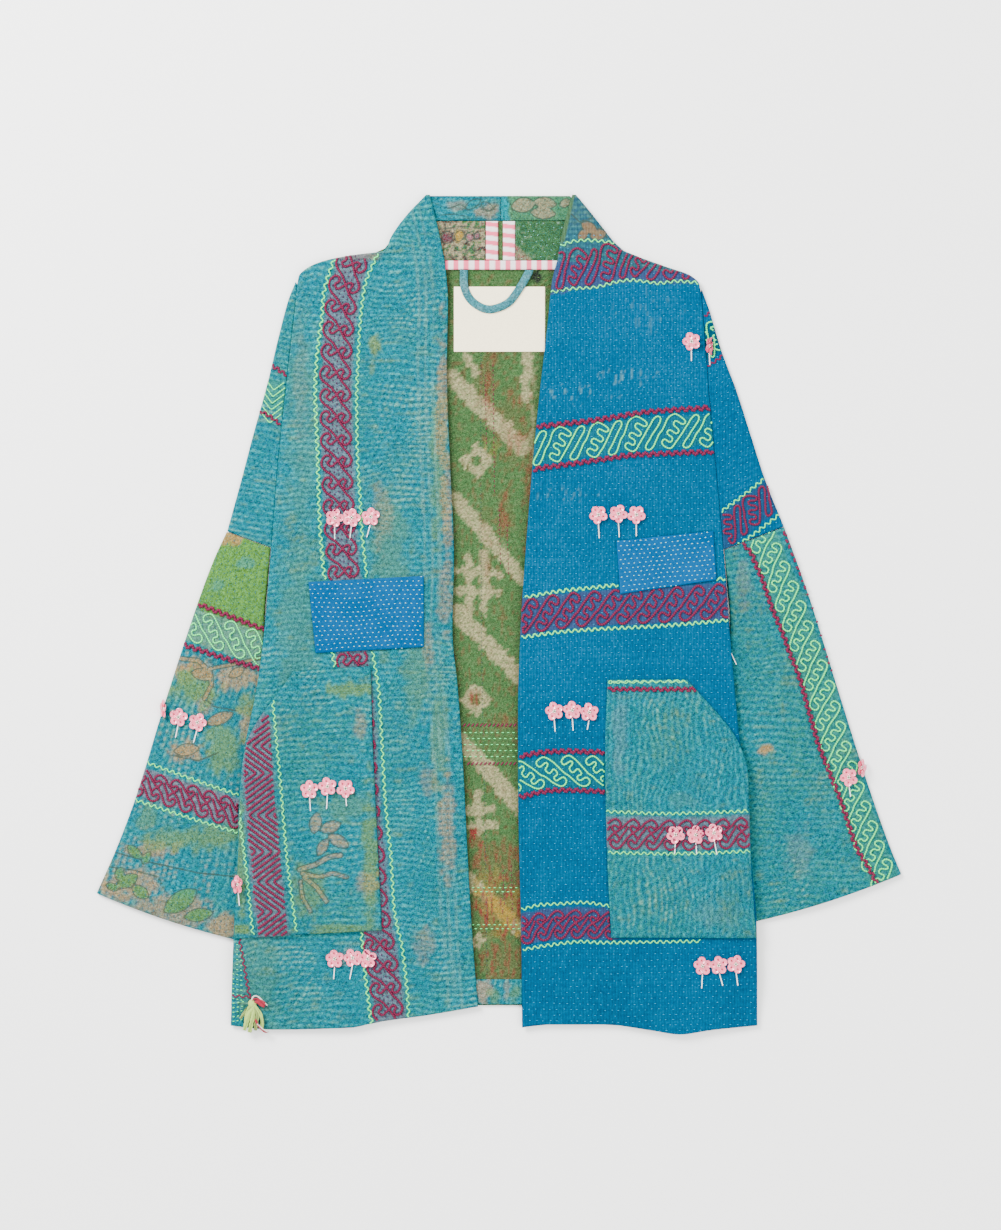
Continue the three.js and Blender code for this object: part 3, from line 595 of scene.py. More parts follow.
def sleeve_wall(name, length, quilt, body=None):
    """Sleeve pressed flat. A closed one is a tube from seam to cuff; an open one ends at the armhole."""
    rows = SLEEVES[name]
    closed = body is None

    def section(part):
        at = {key: flow(rows, "share", key, part) for key in rows if key != "share"}
        if not closed:
            armhole = flow(body, "y", "side", at["inner_y"])
            at["inner_x"] = armhole + np.sign(armhole) * ARMHOLE_SEAM
        outer = np.stack([at["outer_x"], at["outer_y"]], -1)
        inner = np.stack([at["inner_x"], at["inner_y"]], -1)
        width = np.linalg.norm(inner - outer, axis=-1)
        return outer, inner, width

    def place(part, code, inset, relief):
        """Code runs from 0 at the outer fold to 1 at the inner edge; above 1 it comes back below."""
        outer, inner, width = section(part)
        above = code <= 1
        share = np.where(above, code, 2 - code)
        fold_gap = share * width
        far_gap = (1 - share) * width
        nearest = np.minimum(fold_gap, far_gap) if closed else fold_gap
        round_by = FOLD_ROUND - inset * 0.6
        profile = np.sqrt(1 - clamp01(1 - nearest / round_by) ** 2)
        hump = 4 * share * (1 - share)
        loft = SLEEVE_LOFT * hump * clamp01((0.8 - share) / 0.3) * soften(part / 0.12) if closed else 0
        bow = CUFF_BOW * hump * part**3 if closed else 0
        half = SLEEVE_FOLD / 2
        thick = half - inset
        z = np.where(above, half + thick * profile + loft * profile, half - thick * profile)
        direction = (inner - outer) / np.maximum(width, 1e-6)[..., None]
        push = inset * (1 - profile) * np.where(share < 0.5, 1, -1 if closed else 0)
        point = outer + direction * (share * width + push)[..., None]
        x, y = point[..., 0], point[..., 1] - bow
        if relief:
            ends = np.minimum(part, 1 - part) * length
            fade = np.where(above, clamp01(nearest / 9) * clamp01(ends / 4) * clamp01(far_gap / 12), 0)
            z = z + quilt.rise(x, y) * fade
            z = z - np.where(above, rounding(ends) + (0 if closed else 0.4 * rounding(far_gap)), 0)
        return x, y, z

    mean = float(np.mean(section(np.linspace(0, 1, 20))[2]))
    near = np.array([0, 0.3, 0.9, 1.8, 2.8]) / mean
    middle = np.linspace(4.2 / mean, 1 - 4.2 / mean, round((mean - 8) / 1.9))
    tops = np.concatenate([near, middle, 1 - near[::-1]])
    fine = spaced(length, ACROSS_RIDGES)
    coarse = np.linspace(0, 1, round(length / UNDERSIDE_ROW))
    wall = Wall()
    if closed:
        unders = 2 - np.concatenate([near, np.linspace(5 / mean, 1 - 5 / mean, 10), 1 - near[::-1]])[::-1]
        codes = np.concatenate([tops, unders[1:-1]])
        shell = wall.net(grid(fine, codes, place, 0, True))
        hollow_codes = np.array([0, 0.06, 0.5, 0.94, 1, 1.06, 1.5, 1.94])
        lining = wall.net(grid(coarse, hollow_codes, place, SLEEVE_WALL, False))
        shell = np.concatenate([shell, shell[:, :1]], axis=1)
        lining = np.concatenate([lining, lining[:, :1]], axis=1)
        wall.cover(shell)
        wall.cover(lining, True)
        wall.bridge(shell[0], lining[0])
        wall.bridge(shell[-1, ::-1], lining[-1, ::-1])
        return wall
    upper = wall.net(grid(fine, tops[::-1], place, 0, True))
    below_codes = 2 - np.concatenate([near[1:], np.linspace(0.1, 1, 10)])
    below = wall.net(grid(fine, below_codes, place, 0, False))
    hollow_codes = np.array([1, 0.5, 0.05, 0, 1.95, 1.5, 1.0001])
    lining = wall.net(grid(coarse, hollow_codes, place, SLEEVE_WALL, False))
    wall.cover(upper)
    wall.bridge(upper[:, -1], below[:, 0])
    wall.cover(below)
    wall.cover(lining, True)
    wall.bridge(lining[:, 0], upper[:, 0])
    wall.bridge(below[:, -1], lining[:, -1])
    wall.bridge(np.concatenate([upper[0], below[0]]), lining[0])
    wall.bridge(np.concatenate([upper[-1], below[-1]])[::-1], lining[-1, ::-1])
    return wall


SMALL_UNDERSIDE = np.linspace(0, 1, 4), np.linspace(0, 1, 6)  # rows and columns, as shares


def flat_wall(left, right, low, high, floor, thick, quilt, step):
    """Small flat piece with turned edges."""
    width, length = right - left, high - low

    def place(part, share, up, relief):
        x, y = mix(left, right, share), mix(low, high, part)
        reach = inward(part, share, length, width)
        z = floor + up
        if relief:
            soft = min(1.0, thick / 2.2)
            z = z - soft * rounding(reach) + (quilt.rise(x, y) * clamp01(reach / 3) if quilt else 0)
        return x, y, z

    return laid_sheet(place, thick, (spaced(length, step), spaced(width, step)), SMALL_UNDERSIDE)


def collar_wall(sign, quilt):
    def place(part, share, up, relief):
        outer = sign * mix(STAND_FOOT_END, STAND_TOP_END, part)
        inner = CENTRE_BACK + sign * SEAM / 2
        x = mix(outer, inner, share) if sign < 0 else mix(inner, outer, share)
        y = mix(NECK_SEAM, STAND_TOP, part)
        reach = inward(part, share, STAND_TOP - NECK_SEAM, STAND_LENGTH)
        z = up
        if relief:
            z = z - rounding(reach) + quilt.rise(x, y) * clamp01(reach / 3)
        return x, y, z

    tops = spaced(STAND_HEIGHT, 1.5), spaced(STAND_LENGTH, 1.8)
    return laid_sheet(place, COLLAR_STAND, tops, SMALL_UNDERSIDE)


def hem_tape_wall(quilt):
    width = HEM_TAPE_TOP - HEM_TAPE_BOTTOM
    shares = np.array(HEM_TAPE_SHARES)
    codes = np.concatenate([shares, np.linspace(1, 2, 36), 3 - shares[::-1]])

    def place(part, code, up, relief):
        y = mix(HEM_TAPE_BOTTOM, HEM_TAPE_TOP, part)
        share, x = across_body(y, code, flow(RIGHT_FRONT, "y", "side", y), flow(LEFT_FRONT, "y", "side", y))
        z = back_top(share, y) + SEAM + up
        if relief:
            reach = np.minimum(part, 1 - part) * width
            z = z - 0.5 * rounding(reach) + quilt.rise(x, y) * clamp01(reach / 3)
        return x, y, z

    return laid_sheet(place, TAPE_WALL, (spaced(width, 2), codes), (np.linspace(0, 1, 3), codes))


def smooth_path(places, step):
    """Points a step apart on a smooth line through places."""
    places = np.array(places, float)
    ahead = np.concatenate([places[:1] * 2 - places[1:2], places, places[-1:] * 2 - places[-2:-1]])
    line = []
    for i in range(1, len(ahead) - 2):
        a, b, c, d = ahead[i - 1 : i + 3]
        t = np.linspace(0, 1, 12, endpoint=False)[:, None]
        line.append(
            0.5 * (2 * b + (c - a) * t + (2 * a - 5 * b + 4 * c - d) * t**2 + (3 * b - a - 3 * c + d) * t**3)
        )
    line = np.concatenate([*line, places[-1:]])
    return resampled(line, step)


def resampled(line, step):
    lengths = np.concatenate([[0], np.cumsum(np.linalg.norm(np.diff(line, axis=0), axis=1))])
    count = max(2, round(lengths[-1] / step) + 1)
    at = np.linspace(0, lengths[-1], count)
    return np.stack([np.interp(at, lengths, line[:, k]) for k in range(line.shape[1])], -1)


def directions(line):
    """Unit direction of a line at each of its points, on the floor's plane."""
    along = np.gradient(line, axis=0)[:, :2]
    return along / np.linalg.norm(along, axis=1)[:, None]


def loop_wall():
    line = smooth_path(LOOP_LINE, 2.5)
    along = directions(line)
    side = np.linspace(-0.5, 0.5, 9)
    offset = LOOP_WIDTH * side
    x = line[:, :1] + along[:, 1:] * offset
    y = line[:, 1:] - along[:, :1] * offset
    y[[0, -1]] = line[[0, -1], 1:]
    crown = np.sqrt(1 - (np.abs(side) * 2) ** 3) * 0.9
    crease = 0.25 * np.exp(-(((side + 0.3) / 0.05) ** 2))
    pulls = 0.12 * cloud(line[:, 0], line[:, 1], 5, 5)[:, None]
    top = np.stack([x, y, LOOP_FLOOR + 0.8 + np.broadcast_to(crown - crease, x.shape) + pulls * crown], -1)
    under = np.stack([x, y, np.full_like(x, LOOP_FLOOR)], -1)
    return sheet(top, under[:, ::4])


# Colours
def linear(code):
    """An sRGB hex value as linear red, green and blue."""
    channels = np.array([code >> 16 & 255, code >> 8 & 255, code & 255]) / 255
    return np.where(channels <= 0.04045, channels / 12.92, ((channels + 0.055) / 1.055) ** 2.4)


TEAL_DEEP = 0x007A98
TEAL = 0x04A4B4
TEAL_PALE = 0x60DCDC
BLUE_DEEP = 0x0074B0
BLUE = 0x008ECA
BLUE_PALE = 0x00B4F0
LEAF = 0x77A45C
SEA_GREEN = 0x42A48A
TAN = 0xD8A662
ASH = 0x94849E
BEIGE = 0xDED29E
ROSE = 0xB4625E
OLIVE = 0x93AD4E
PLUM = 0x8C3B52
STRIPE_PINK = 0xF66C88


def plain(x, y, colour, *clouds):
    """One colour all over, lighter and darker in clouds given as strength, size and seed."""
    shade = 1.0
    for strength, size, seed in clouds:
        shade = shade + strength * cloud(x, y, size, seed)
    return np.broadcast_to(linear(colour), (x.size, 3)) * np.reshape(shade, (-1, 1))


def layered(colour, *coats):
    """Lays coats over a colour in turn: each is a hex value or a colour for every point, and its mask."""
    for coat, mask in coats:
        coat = linear(coat) if isinstance(coat, int) else coat
        colour = colour + (coat - colour) * clamp01(mask)[:, None]
    return colour


def spots(x, y, *rows):
    """Soft blotches: x, y, reach across, reach along, strength."""
    total = np.zeros_like(x)
    for at_x, at_y, across, along, strength in rows:
        edge = 0.45 * cloud(x, y, 7, 301) + 0.25 * cloud(x, y, 3, 302)
        inside = 1.2 - np.hypot((x - at_x) / across, (y - at_y) / along) + edge
        total = np.maximum(total, strength * soften(inside * 1.6))
    return total


def leaf_gap(x, y, at_x, at_y, length, width, turn):
    """Distance in from the outline of a pointed leaf or petal: negative inside."""
    c, s = cos(radians(turn)), sin(radians(turn))
    u, v = (x - at_x) * c + (y - at_y) * s, (y - at_y) * c - (x - at_x) * s
    a, b = length / 2, width / 2
    radius = (a * a + b * b) / (2 * b)
    return np.maximum(np.hypot(u, v - (radius - b)), np.hypot(u, v + (radius - b))) - radius


def segment_gap(x, y, ax, ay, bx, by):
    along = clamp01(((x - ax) * (bx - ax) + (y - ay) * (by - ay)) / ((bx - ax) ** 2 + (by - ay) ** 2))
    return np.hypot(x - mix(ax, bx, along), y - mix(ay, by, along))


def line_gap(x, y, line):
    """Distance from a line through places."""
    gap = np.full_like(x, 1e3)
    for (ax, ay), (bx, by) in zip(line, line[1:]):
        gap = np.minimum(gap, segment_gap(x, y, ax, ay, bx, by))
    return gap


def figures(x, y, prints):
    """Distance from the nearest printed outline: negative inside a leaf or along a stalk."""
    gap = np.full_like(x, 99.0)
    for row in prints["leaves"]:
        gap = np.minimum(gap, leaf_gap(x, y, *row))
    for half, *line in prints["stalks"]:
        gap = np.minimum(gap, line_gap(x, y, line) - half)
    return gap


def in_band(x, y, line, reach):
    """1 within reach of an embroidered band's centre line, with a ragged edge."""
    return soften((reach + 1.5 * cloud(x, y, 5, 641) - line_gap(x, y, line)) / 2.5)


def worn_teal(x, y, quilt, seed, green=0.3, tan=0.12, pale=0.34):
    """Teal print washed out along its ridges, with hazes of green and bare tan."""
    relief = quilt.relief(x, y)
    along, across = quilt.turned(x, y)
    broad, medium = cloud(x, y, 60, seed), cloud(x, y, 22, seed + 1)
    streak = cloud(along / 1.8, across, 2.6, seed + 2)
    speck = cloud(x, y, 2.6, seed + 3)
    washed = 1.35 * pale * soften((relief - 0.42) * 2.6) * (0.75 + 0.9 * streak + 0.6 * speck)
    worn = soften((relief - 0.5) * 3) * soften(broad * 1.4 + medium * 0.9 + streak * 0.7 + tan - 0.45)
    return layered(
        plain(x, y, TEAL, (0.1, 22, seed + 1)),
        (SEA_GREEN, green + 0.55 * cloud(x, y, 45, seed + 4) + 0.35 * streak - 0.1),
        (LEAF, 0.6 * soften(cloud(x, y, 30, seed + 5) * 1.6 - 0.35) * (0.5 + 0.5 * streak)),
        (OLIVE, 0.55 * soften(cloud(x / 2, y, 6, seed + 6) * 2.6 - 1.3)),
        (TEAL_DEEP, 1.1 * (1 - relief) ** 1.3 + 0.3 * speck),
        (TEAL_PALE, washed),
        (0x96D8C0, 0.7 * worn),
    )


def dye_front_right(x, y):
    quilt = QUILTS["front_right"]
    haze = spots(
        x, y, (-196, 180, 16, 130, 0.16), (-200, -10, 20, 110, 0.2), (-60, 150, 9, 90, 0.45),
        (-60, -120, 8, 60, 0.4), (-110, 60, 22, 60, 0.3), (-84, -60, 12, 50, 0.3), (-240, -360, 24, 60, 0.2),
        (-118, -20, 12, 30, 0.35),
    )
    bare = spots(
        x, y,
        (-57, 215, 6, 70, 0.8), (-52, 110, 6, 60, 0.8), (-54, 20, 8, 40, 0.6), (-52, -215, 8, 50, 0.8),
        (-198, 230, 7, 60, 0.15), (-70, -30, 6, 20, 0.6), (-118, 100, 12, 30, 0.4), (-70, -165, 9, 16, 0.4),
        (-150, -340, 16, 12, 0.3), (-74, -330, 10, 20, 0.45),
    )
    edge = flow(RIGHT_FRONT, "y", "centre", y) - x  # three rows of stitching beside the front edge
    rows = soften(np.cos(2 * pi * edge / EDGE_ROW_PITCH) * 1.4)
    rows = rows * soften((edge - 9) / 3) * soften((34 - edge) / 3)
    shoulder = soften((y - 353 - 2 * cloud(x, y, 9, 77)) / 3) * soften((-118 - x) / 4)
    return layered(
        worn_teal(x, y, quilt, 401),
        (LEAF, 1.3 * haze),
        (OLIVE, spots(x, y, (-124, 268, 6, 12, 0.75), (-126, 246, 3, 6, 0.4))),
        (0xD2A468, 1.15 * bare * (0.2 + 0.8 * quilt.relief(x, y))),
        (0x8CD0C4, 0.5 * rows * (0.5 + 0.5 * cloud(x, y / 3, 4, 403))),
        (0x9E9A72, 0.85 * shoulder),
        (ASH, 0.62 * in_band(x, y, VERTICAL_BAND, 16.5)),
    )


def dye_front_left(x, y):
    relief = QUILTS["front_left"].relief(x, y)
    rib = cloud(x, y / 3.5, 2.4, 433)
    base = plain(x, y, BLUE, (0.1, 70, 431), (0.05, 16, 432))
    base = base * (1 - 0.1 * soften(-y / 200))[:, None]  # a little darker towards the hem
    rubbed = spots(
        x, y, (70, 222, 44, 8, 0.8), (128, 238, 30, 8, 0.8), (60, 120, 44, 6, 0.5), (150, 300, 40, 20, 0.35)
    )
    collar = layered(worn_teal(x, y, QUILTS["front_right"], 441), (ASH, np.full_like(x, 0.2)))
    edge_strip = soften((66 + (y - 370) * 0.22 - x) / 2) * soften((y - 366) / 8)
    petals = figures(x, y, COLLAR_LEFT_TIP)
    return layered(
        base,
        (BLUE_DEEP, 0.7 * (1 - relief) ** 1.4 + 0.35 * rib),
        (BLUE_PALE, 0.3 * soften((relief - 0.5) * 2) + 0.25 * soften(rib * 2)),
        (0x80D8EC, 0.9 * rubbed * soften(cloud(x, y / 5, 1.3, 434) * 4.5 - 1.9)),
        (0x1A9C94, 0.45 * in_band(x, y, KEY_GREEN, 17)),
        (0x1A9C94, 0.45 * in_band(x, y, COMB_GREEN_LOW, 17)),
        (0x745696, 0.52 * in_band(x, y, KEY_TOP, 24)),
        (0x745696, 0.52 * in_band(x, y, KEY_LOW_RED, 19)),
        (0x745696, 0.52 * in_band(x, y, SCROLL_LOW, 17)),
        (collar, soften((y - 352 + 0.10 * (x - 57)) / 2.5)),
        (LEAF, 0.8 * edge_strip),
        (TAN, 0.85 * soften(-petals * 1.5) * (0.7 + 0.3 * relief)),
    )


def dye_blue_sleeve(x, y):
    relief = QUILTS["sleeve_upper_left"].relief(x, y)
    return layered(
        plain(x, y, BLUE, (0.1, 40, 451)),
        (BLUE_DEEP, 0.75 * (1 - relief) ** 1.4 + 0.3 * cloud(x, y, 3, 452)),
        (BLUE_PALE, 0.3 * soften((relief - 0.5) * 2)),
        (0x4A5E9A, 0.6 * in_band(x, y, SLEEVE_KEY_LEFT, 17)),
        (0x126468, 0.6 * in_band(x, y, SLEEVE_COMB_TOP, 15)),
    )


def dye_teal_sleeve(x, y):
    return layered(
        worn_teal(x, y, QUILTS["sleeve_lower_left"], 461, green=0.6, tan=-0.3, pale=0.2),
        (TAN, spots(x, y, (266, -136, 8, 6, 0.9), (244, 30, 9, 24, 0.16), (300, -240, 16, 24, 0.12))),
        (SEA_GREEN, 0.55 * in_band(x, y, SLEEVE_COMB_LEFT, 17)),
    )


def dye_upper_right_sleeve(x, y):
    chevrons = 0.6 * soften((236 - 0.55 * (x + 226) - y) / 2) * soften((y - 205 + 0.6 * (x + 226)) / 2)
    return layered(worn_teal(x, y, QUILTS["sleeve_upper_right"], 471, tan=0.3), (SEA_GREEN, chevrons))


def dye_floral_sleeve(x, y):
    """Green, teal and tan print that changes down the sleeve, with leaves outlined in it."""
    quilt = QUILTS["sleeve_lower_right"]
    relief = quilt.relief(x, y)
    down = y + 0.36 * (x + 300)  # level of the embroidered bands, which slope across the sleeve
    ragged = 6 * cloud(x, y, 12, 481) + 3 * cloud(x, y, 4, 482)
    green = plain(x, y, 0x7AB83C, (0.08, 5, 483)) * (0.86 + 0.2 * relief)[:, None]
    fleck = soften((relief - 0.5) * 3) * soften(cloud(x, y, 16, 485) * 1.4 + 0.25) * soften((24 - down) / 30)
    bare = spots(
        x, y, (-308, -58, 26, 13, 1.0), (-262, -62, 24, 14, 0.8), (-250, -112, 10, 36, 0.75),
        (-312, -136, 18, 10, 0.85), (-296, -86, 10, 16, 0.6), (-370, -270, 32, 16, 0.85),
        (-330, -292, 40, 12, 0.7), (-270, -310, 26, 12, 0.8), (-345, -235, 24, 11, 0.8),
        (-310, -300, 30, 12, 0.7),
    )
    foliage = spots(
        x, y, (-306, -72, 24, 20, 0.9), (-274, -132, 20, 26, 0.8), (-250, -90, 12, 14, 0.7),
        (-330, -225, 34, 12, 0.7), (-285, -222, 34, 14, 0.75), (-352, -205, 12, 12, 0.5),
    )
    leaves = figures(x, y, SLEEVE_LEAVES)
    return layered(
        worn_teal(x, y, quilt, 484, green=0.35, tan=0.45),
        (0xC8AC84, 0.6 * fleck),
        (TAN, bare * (0.62 + 0.38 * relief)),
        (LEAF, foliage),
        (green, soften((down + ragged - 4) / 3) * 0.95),
        (TAN, spots(x, y, (-268, 76, 13, 9, 0.85))),
        (TEAL, spots(x, y, (-250, 50, 10, 6, 0.4), (-282, 30, 8, 9, 0.3))),
        (ASH, 0.8 * in_band(x, y, SLEEVE_SCROLL_RIGHT, 15)),
        (0x7CB084, 0.75 * in_band(x, y, SLEEVE_COMB_RIGHT, 18)),
        (np.where((y < -150)[:, None], linear(0x5FA052), linear(0xBC9A68)), 0.85 * soften(-leaves * 1.5)),
    )


def dye_right_pocket(x, y):
    quilt = QUILTS["pocket_right"]
    haze = spots(
        x, y, (-142, -74, 26, 10, 0.85), (-128, -250, 9, 74, 0.8), (-190, -270, 16, 28, 0.65),
        (-160, -318, 44, 9, 0.75), (-257, -314, 12, 7, 0.95), (-257, -250, 5, 70, 0.75),
        (-150, -190, 24, 16, 0.4),
    )
    petals = 0.75 * soften(-figures(x, y, POCKET_PETALS) * 1.2)
    bare = petals + spots(x, y, (-132, -268, 12, 14, 0.6), (-140, -110, 8, 14, 0.5))
    return layered(
        worn_teal(x, y, quilt, 491, green=0.5, tan=0.05),
        (LEAF, haze),
        (TAN, bare * (0.35 + 0.65 * quilt.relief(x, y))),
        (ASH, 0.6 * in_band(x, y, HERRINGBONE_BAND, 17)),
    )


def dye_left_pocket(x, y):
    return layered(
        worn_teal(x, y, QUILTS["pocket_left"], 501, green=0.36, tan=-0.3, pale=0.22),
        (ASH, 0.6 * in_band(x, y, POCKET_SCROLL, 17)),
        (OLIVE, spots(x, y, (228, -300, 24, 18, 0.1), (180, -185, 16, 8, 0.12))),
        (0x9CB8BC, spots(x, y, (212, -300, 22, 14, 0.08), (120, -120, 8, 40, 0.2))),
    )


def dye_patch(x, y):
    return plain(x, y, 0x00A0FF, (0.1, 18, 511), (0.06, 2.5, 512))


def dye_facing_right(x, y):
    speckle = cloud(x, y, 2.2, 521) + 0.5 * cloud(x, y, 5, 522)
    return layered(
        plain(x, y, 0xC4B088),
        (0x587A40, soften(speckle * 3 - 0.5)),
        (0x643A34, soften(-speckle * 3 - 0.8)),
        (PLUM, spots(x, y, (-52, 377, 6, 7, 0.95))),
        (0xD9A93C, spots(x, y, (-39.5, 378, 4.5, 6, 0.95))),
        (0xC06A86, spots(x, y, (-29, 377.5, 4, 5.5, 0.9), (-22, 378, 2.5, 4, 0.8))),
    )


def dye_facing_left(x, y):
    corner = soften((18 - (x - 16) * 0.9 - (y - 353)) / 3)
    speckled = layered(plain(x, y, 0xAA9D78), (ROSE, soften(cloud(x, y, 2.2, 533) * 2)))
    return layered(
        plain(x, y, 0x4C7644, (0.15, 4, 531)),
        (0x9FB58A, 0.5 * soften(cloud(x, y, 3, 532) * 3 - 1.6)),
        (speckled, 0.9 * corner),
    )


def dye_collar_right(x, y):
    return layered(
        worn_teal(x, y, QUILTS["collar_back_right"], 541, green=0.1, tan=0.2),
        (TAN, 0.6 * spots(x, y, (-10, 404, 12, 7, 0.8), (-40, 408, 10, 5, 0.6))),
    )


def dye_collar_left(x, y):
    blobs = figures(x, y, COLLAR_BLOBS)
    relief = QUILTS["collar_back_left"].relief(x, y)
    return layered(
        plain(x, y, 0x5B9B6A, (0.1, 4, 551)),
        (TEAL, soften((10 - x + 3 * cloud(x, y, 8, 552)) / 3)),
        (0xB5A27E, 0.95 * soften(-blobs * 1.5) * (0.75 + 0.25 * relief)),
    )


def striped(x, y, ground, place, pitch):
    """Woven stripes across a narrow binding."""
    wave = 0.5 + 0.5 * np.sin(2 * pi * place / pitch)
    return layered(plain(x, y, ground), (STRIPE_PINK, soften((wave - 0.42) * 6)))


def dye_gingham_down(x, y):
    return striped(x, y, 0xF4EFEC, y + 0.12 * x, 9.2)


def dye_gingham_across(x, y):
    return striped(x, y, 0xF3ECEB, x + 4, 10.4)


def dye_hem_tape(x, y):
    return layered(
        worn_teal(x, y, QUILTS["back_hem_tape"], 561, green=0.35, tan=0.2),
        (0xB9A98E, spots(x, y, (-16, -377, 9, 12, 0.9), (8, -374, 5, 9, 0.5))),
        (LEAF, spots(x, y, (-5, -382, 7, 7, 0.6), (14, -378, 6, 8, 0.6))),
    )


def dye_loop(x, y):
    return layered(
        plain(x, y, 0x5AA6B6, (0.12, 2.4, 571)),
        (0x8FC3C9, 0.5 * soften(cloud(x, y, 4, 572) * 2)),
    )


def dye_label(x, y):
    return plain(x, y, 0xFCF0CC, (0.012, 3, 581))


IKAT_BARS = (  # from x, y to x, y, half width
    (-49, 239, 24, 166, 8),
    (-46, 118, 24, 36, 6.5),
    (-44, 4, 19, -60, 8),
    (-36, -127, 20, -192, 8),
    (-32, -262, 22, -316, 7),
    (-30, 58, -30, 4, 3.6),
    (-15, 62, -15, 2, 3.6),
    (-44, 44, 0, 41, 3.8),
    (-44, 24, 0, 22, 3.8),
    (-20, -178, -20, -216, 3.8),
    (-34, -194, -6, -195, 4.4),
    (-32, -212, -4, -211, 3.2),
    (-34, 262, -24, 240, 4),
    (29, 262, 26, 216, 5),
)
IKAT_DIAMONDS = (  # x, y, reach, hole
    (-22, 154, 19, 6),
    (-23, -84.5, 19, 5.5),
    (-21.5, -327, 11, 2),
)


def dye_back(x, y):
    """Green cloth with beige figures blurred along the threads, as tied warps give."""
    relief = QUILTS["back_panel"].relief(x, y)
    blur_x, blur_y = x + 2.6 * cloud(x, y, 4, 601), y + 3.4 * cloud(x, y, 3, 602)
    weave = cloud(x, y, 1.9, 603)
    figure = np.zeros_like(x)
    for *ends, half in IKAT_BARS:
        figure = np.maximum(figure, soften((half + 0.8 - segment_gap(blur_x, blur_y, *ends)) / 1.6))
    for at_x, at_y, reach, hole in IKAT_DIAMONDS:
        gap = np.abs(blur_x - at_x) + np.abs(blur_y - at_y) * 1.05
        figure = np.maximum(figure, soften((reach - gap) / 2) * soften((gap - hole) / 1.5))
    hatch = 0.5 + 0.5 * np.sin(2 * pi * (x + y) / 4.6 + 1.5 * cloud(x, y, 7, 606))
    streaks = soften(cloud(x, y / 4, 2.2, 605) * 2.4)
    redden = spots(
        x, y,
        (-12, 235, 12, 40, 0.55), (14, 185, 14, 40, 0.5), (6, 100, 8, 30, 0.5), (-12, 70, 6, 40, 0.35),
        (31, 120, 6, 90, 0.55), (0, -246, 32, 22, 0.6), (4, -290, 32, 28, 0.85), (8, -345, 24, 24, 0.6),
        (-23, -226, 7, 10, 1.2), (-24, -84, 7, 8, 0.8), (12, -108, 18, 8, 0.5),
    )
    yellow = spots(x, y, (8, -298, 28, 24, 1.0), (-10, -268, 16, 14, 0.9), (-8, 165, 10, 8, 0.8))
    colour = layered(
        plain(x, y, 0x52864E, (0.08, 30, 604)),
        (0x4E7A45, 0.6 * (1 - relief) + 0.4 * weave),
        (0x8A5240, 0.55 * soften(cloud(x, y / 3, 1.7, 607) * 2.6 - 0.75)),
        (0x8DAA72, 0.5 * soften(weave * 2) * relief),
        (BEIGE, figure * (0.46 + 0.25 * relief + 0.25 * weave + 0.32 * hatch)),
        (0xA8383C, redden * (0.3 + 0.7 * streaks)),
        (0xC9A23E, yellow * (1 - streaks) * (0.3 + 0.65 * figure)),
        (BEIGE, 0.55 * spots(x, y, (34, 190, 4, 90, 0.8)) * (1 - streaks)),
        (0x20262A, soften((9 - np.abs(x - 38) * 1.2 - np.abs(y - 337)) / 2)),
    )
    painted_shadow = 0  # painted shadow: the back is darker along both fronts' edges, where they shade it
    for rows, inwards, depth in ((RIGHT_FRONT, 3, 0.3), (LEFT_FRONT, -3, 0.22)):
        edge = flow(rows, "y", "centre", y) + inwards
        painted_shadow = painted_shadow + depth * soften((8 - np.abs(x - edge)) / 8)
    return colour * (1 - painted_shadow)[:, None]


# Embroidered bands: centre lines
VERTICAL_BAND = (
    (-143, 358), (-154, 324), (-158, 294), (-160.5, 264), (-162, 234), (-161, 164), (-158, 94), (-153, 34),
    (-146, -38), (-141, -76), (-136.5, -142), (-133.5, -192), (-128.5, -239), (-125, -289), (-121, -314),
    (-117, -338), (-112, -372), (-109, -404),
)
HERRINGBONE_BAND = ((-243, -110), (-241, -150), (-238, -190), (-233, -245), (-229, -285), (-225, -320))
KEY_TOP = ((50, 341), (71, 346), (96, 348), (116, 353), (133.5, 355), (158, 352), (200, 354))
KEY_LOW_RED = ((22, -3), (61, 3), (101, 6.5), (161, 9), (230, 14))
KEY_GREEN = ((30, 165), (62, 170), (101, 174.5), (146, 181), (215, 184.5))
COMB_GREEN_LOW = ((18, -162.5), (58, -156.5), (108, -157))
SCROLL_LOW = ((21, -314.5), (45, -310), (72, -307.5), (114, -309))
POCKET_SCROLL = ((108, -217), (180, -218.5), (252, -215.5))
SLEEVE_KEY_LEFT = ((224, 82), (250, 102), (284, 128))
SLEEVE_COMB_LEFT = (
    (262, 82), (270, 58), (282, 31), (294, 0), (309, -42), (320, -72), (334, -124), (347, -165), (360, -204),
    (374, -243), (390, -276),
)
SLEEVE_COMB_TOP = ((204, 268), (224, 284))
SLEEVE_COMB_RIGHT = ((-310, -9), (-272, -22), (-232, -37))
SLEEVE_SCROLL_RIGHT = ((-360, -166), (-310, -182), (-256, -200))

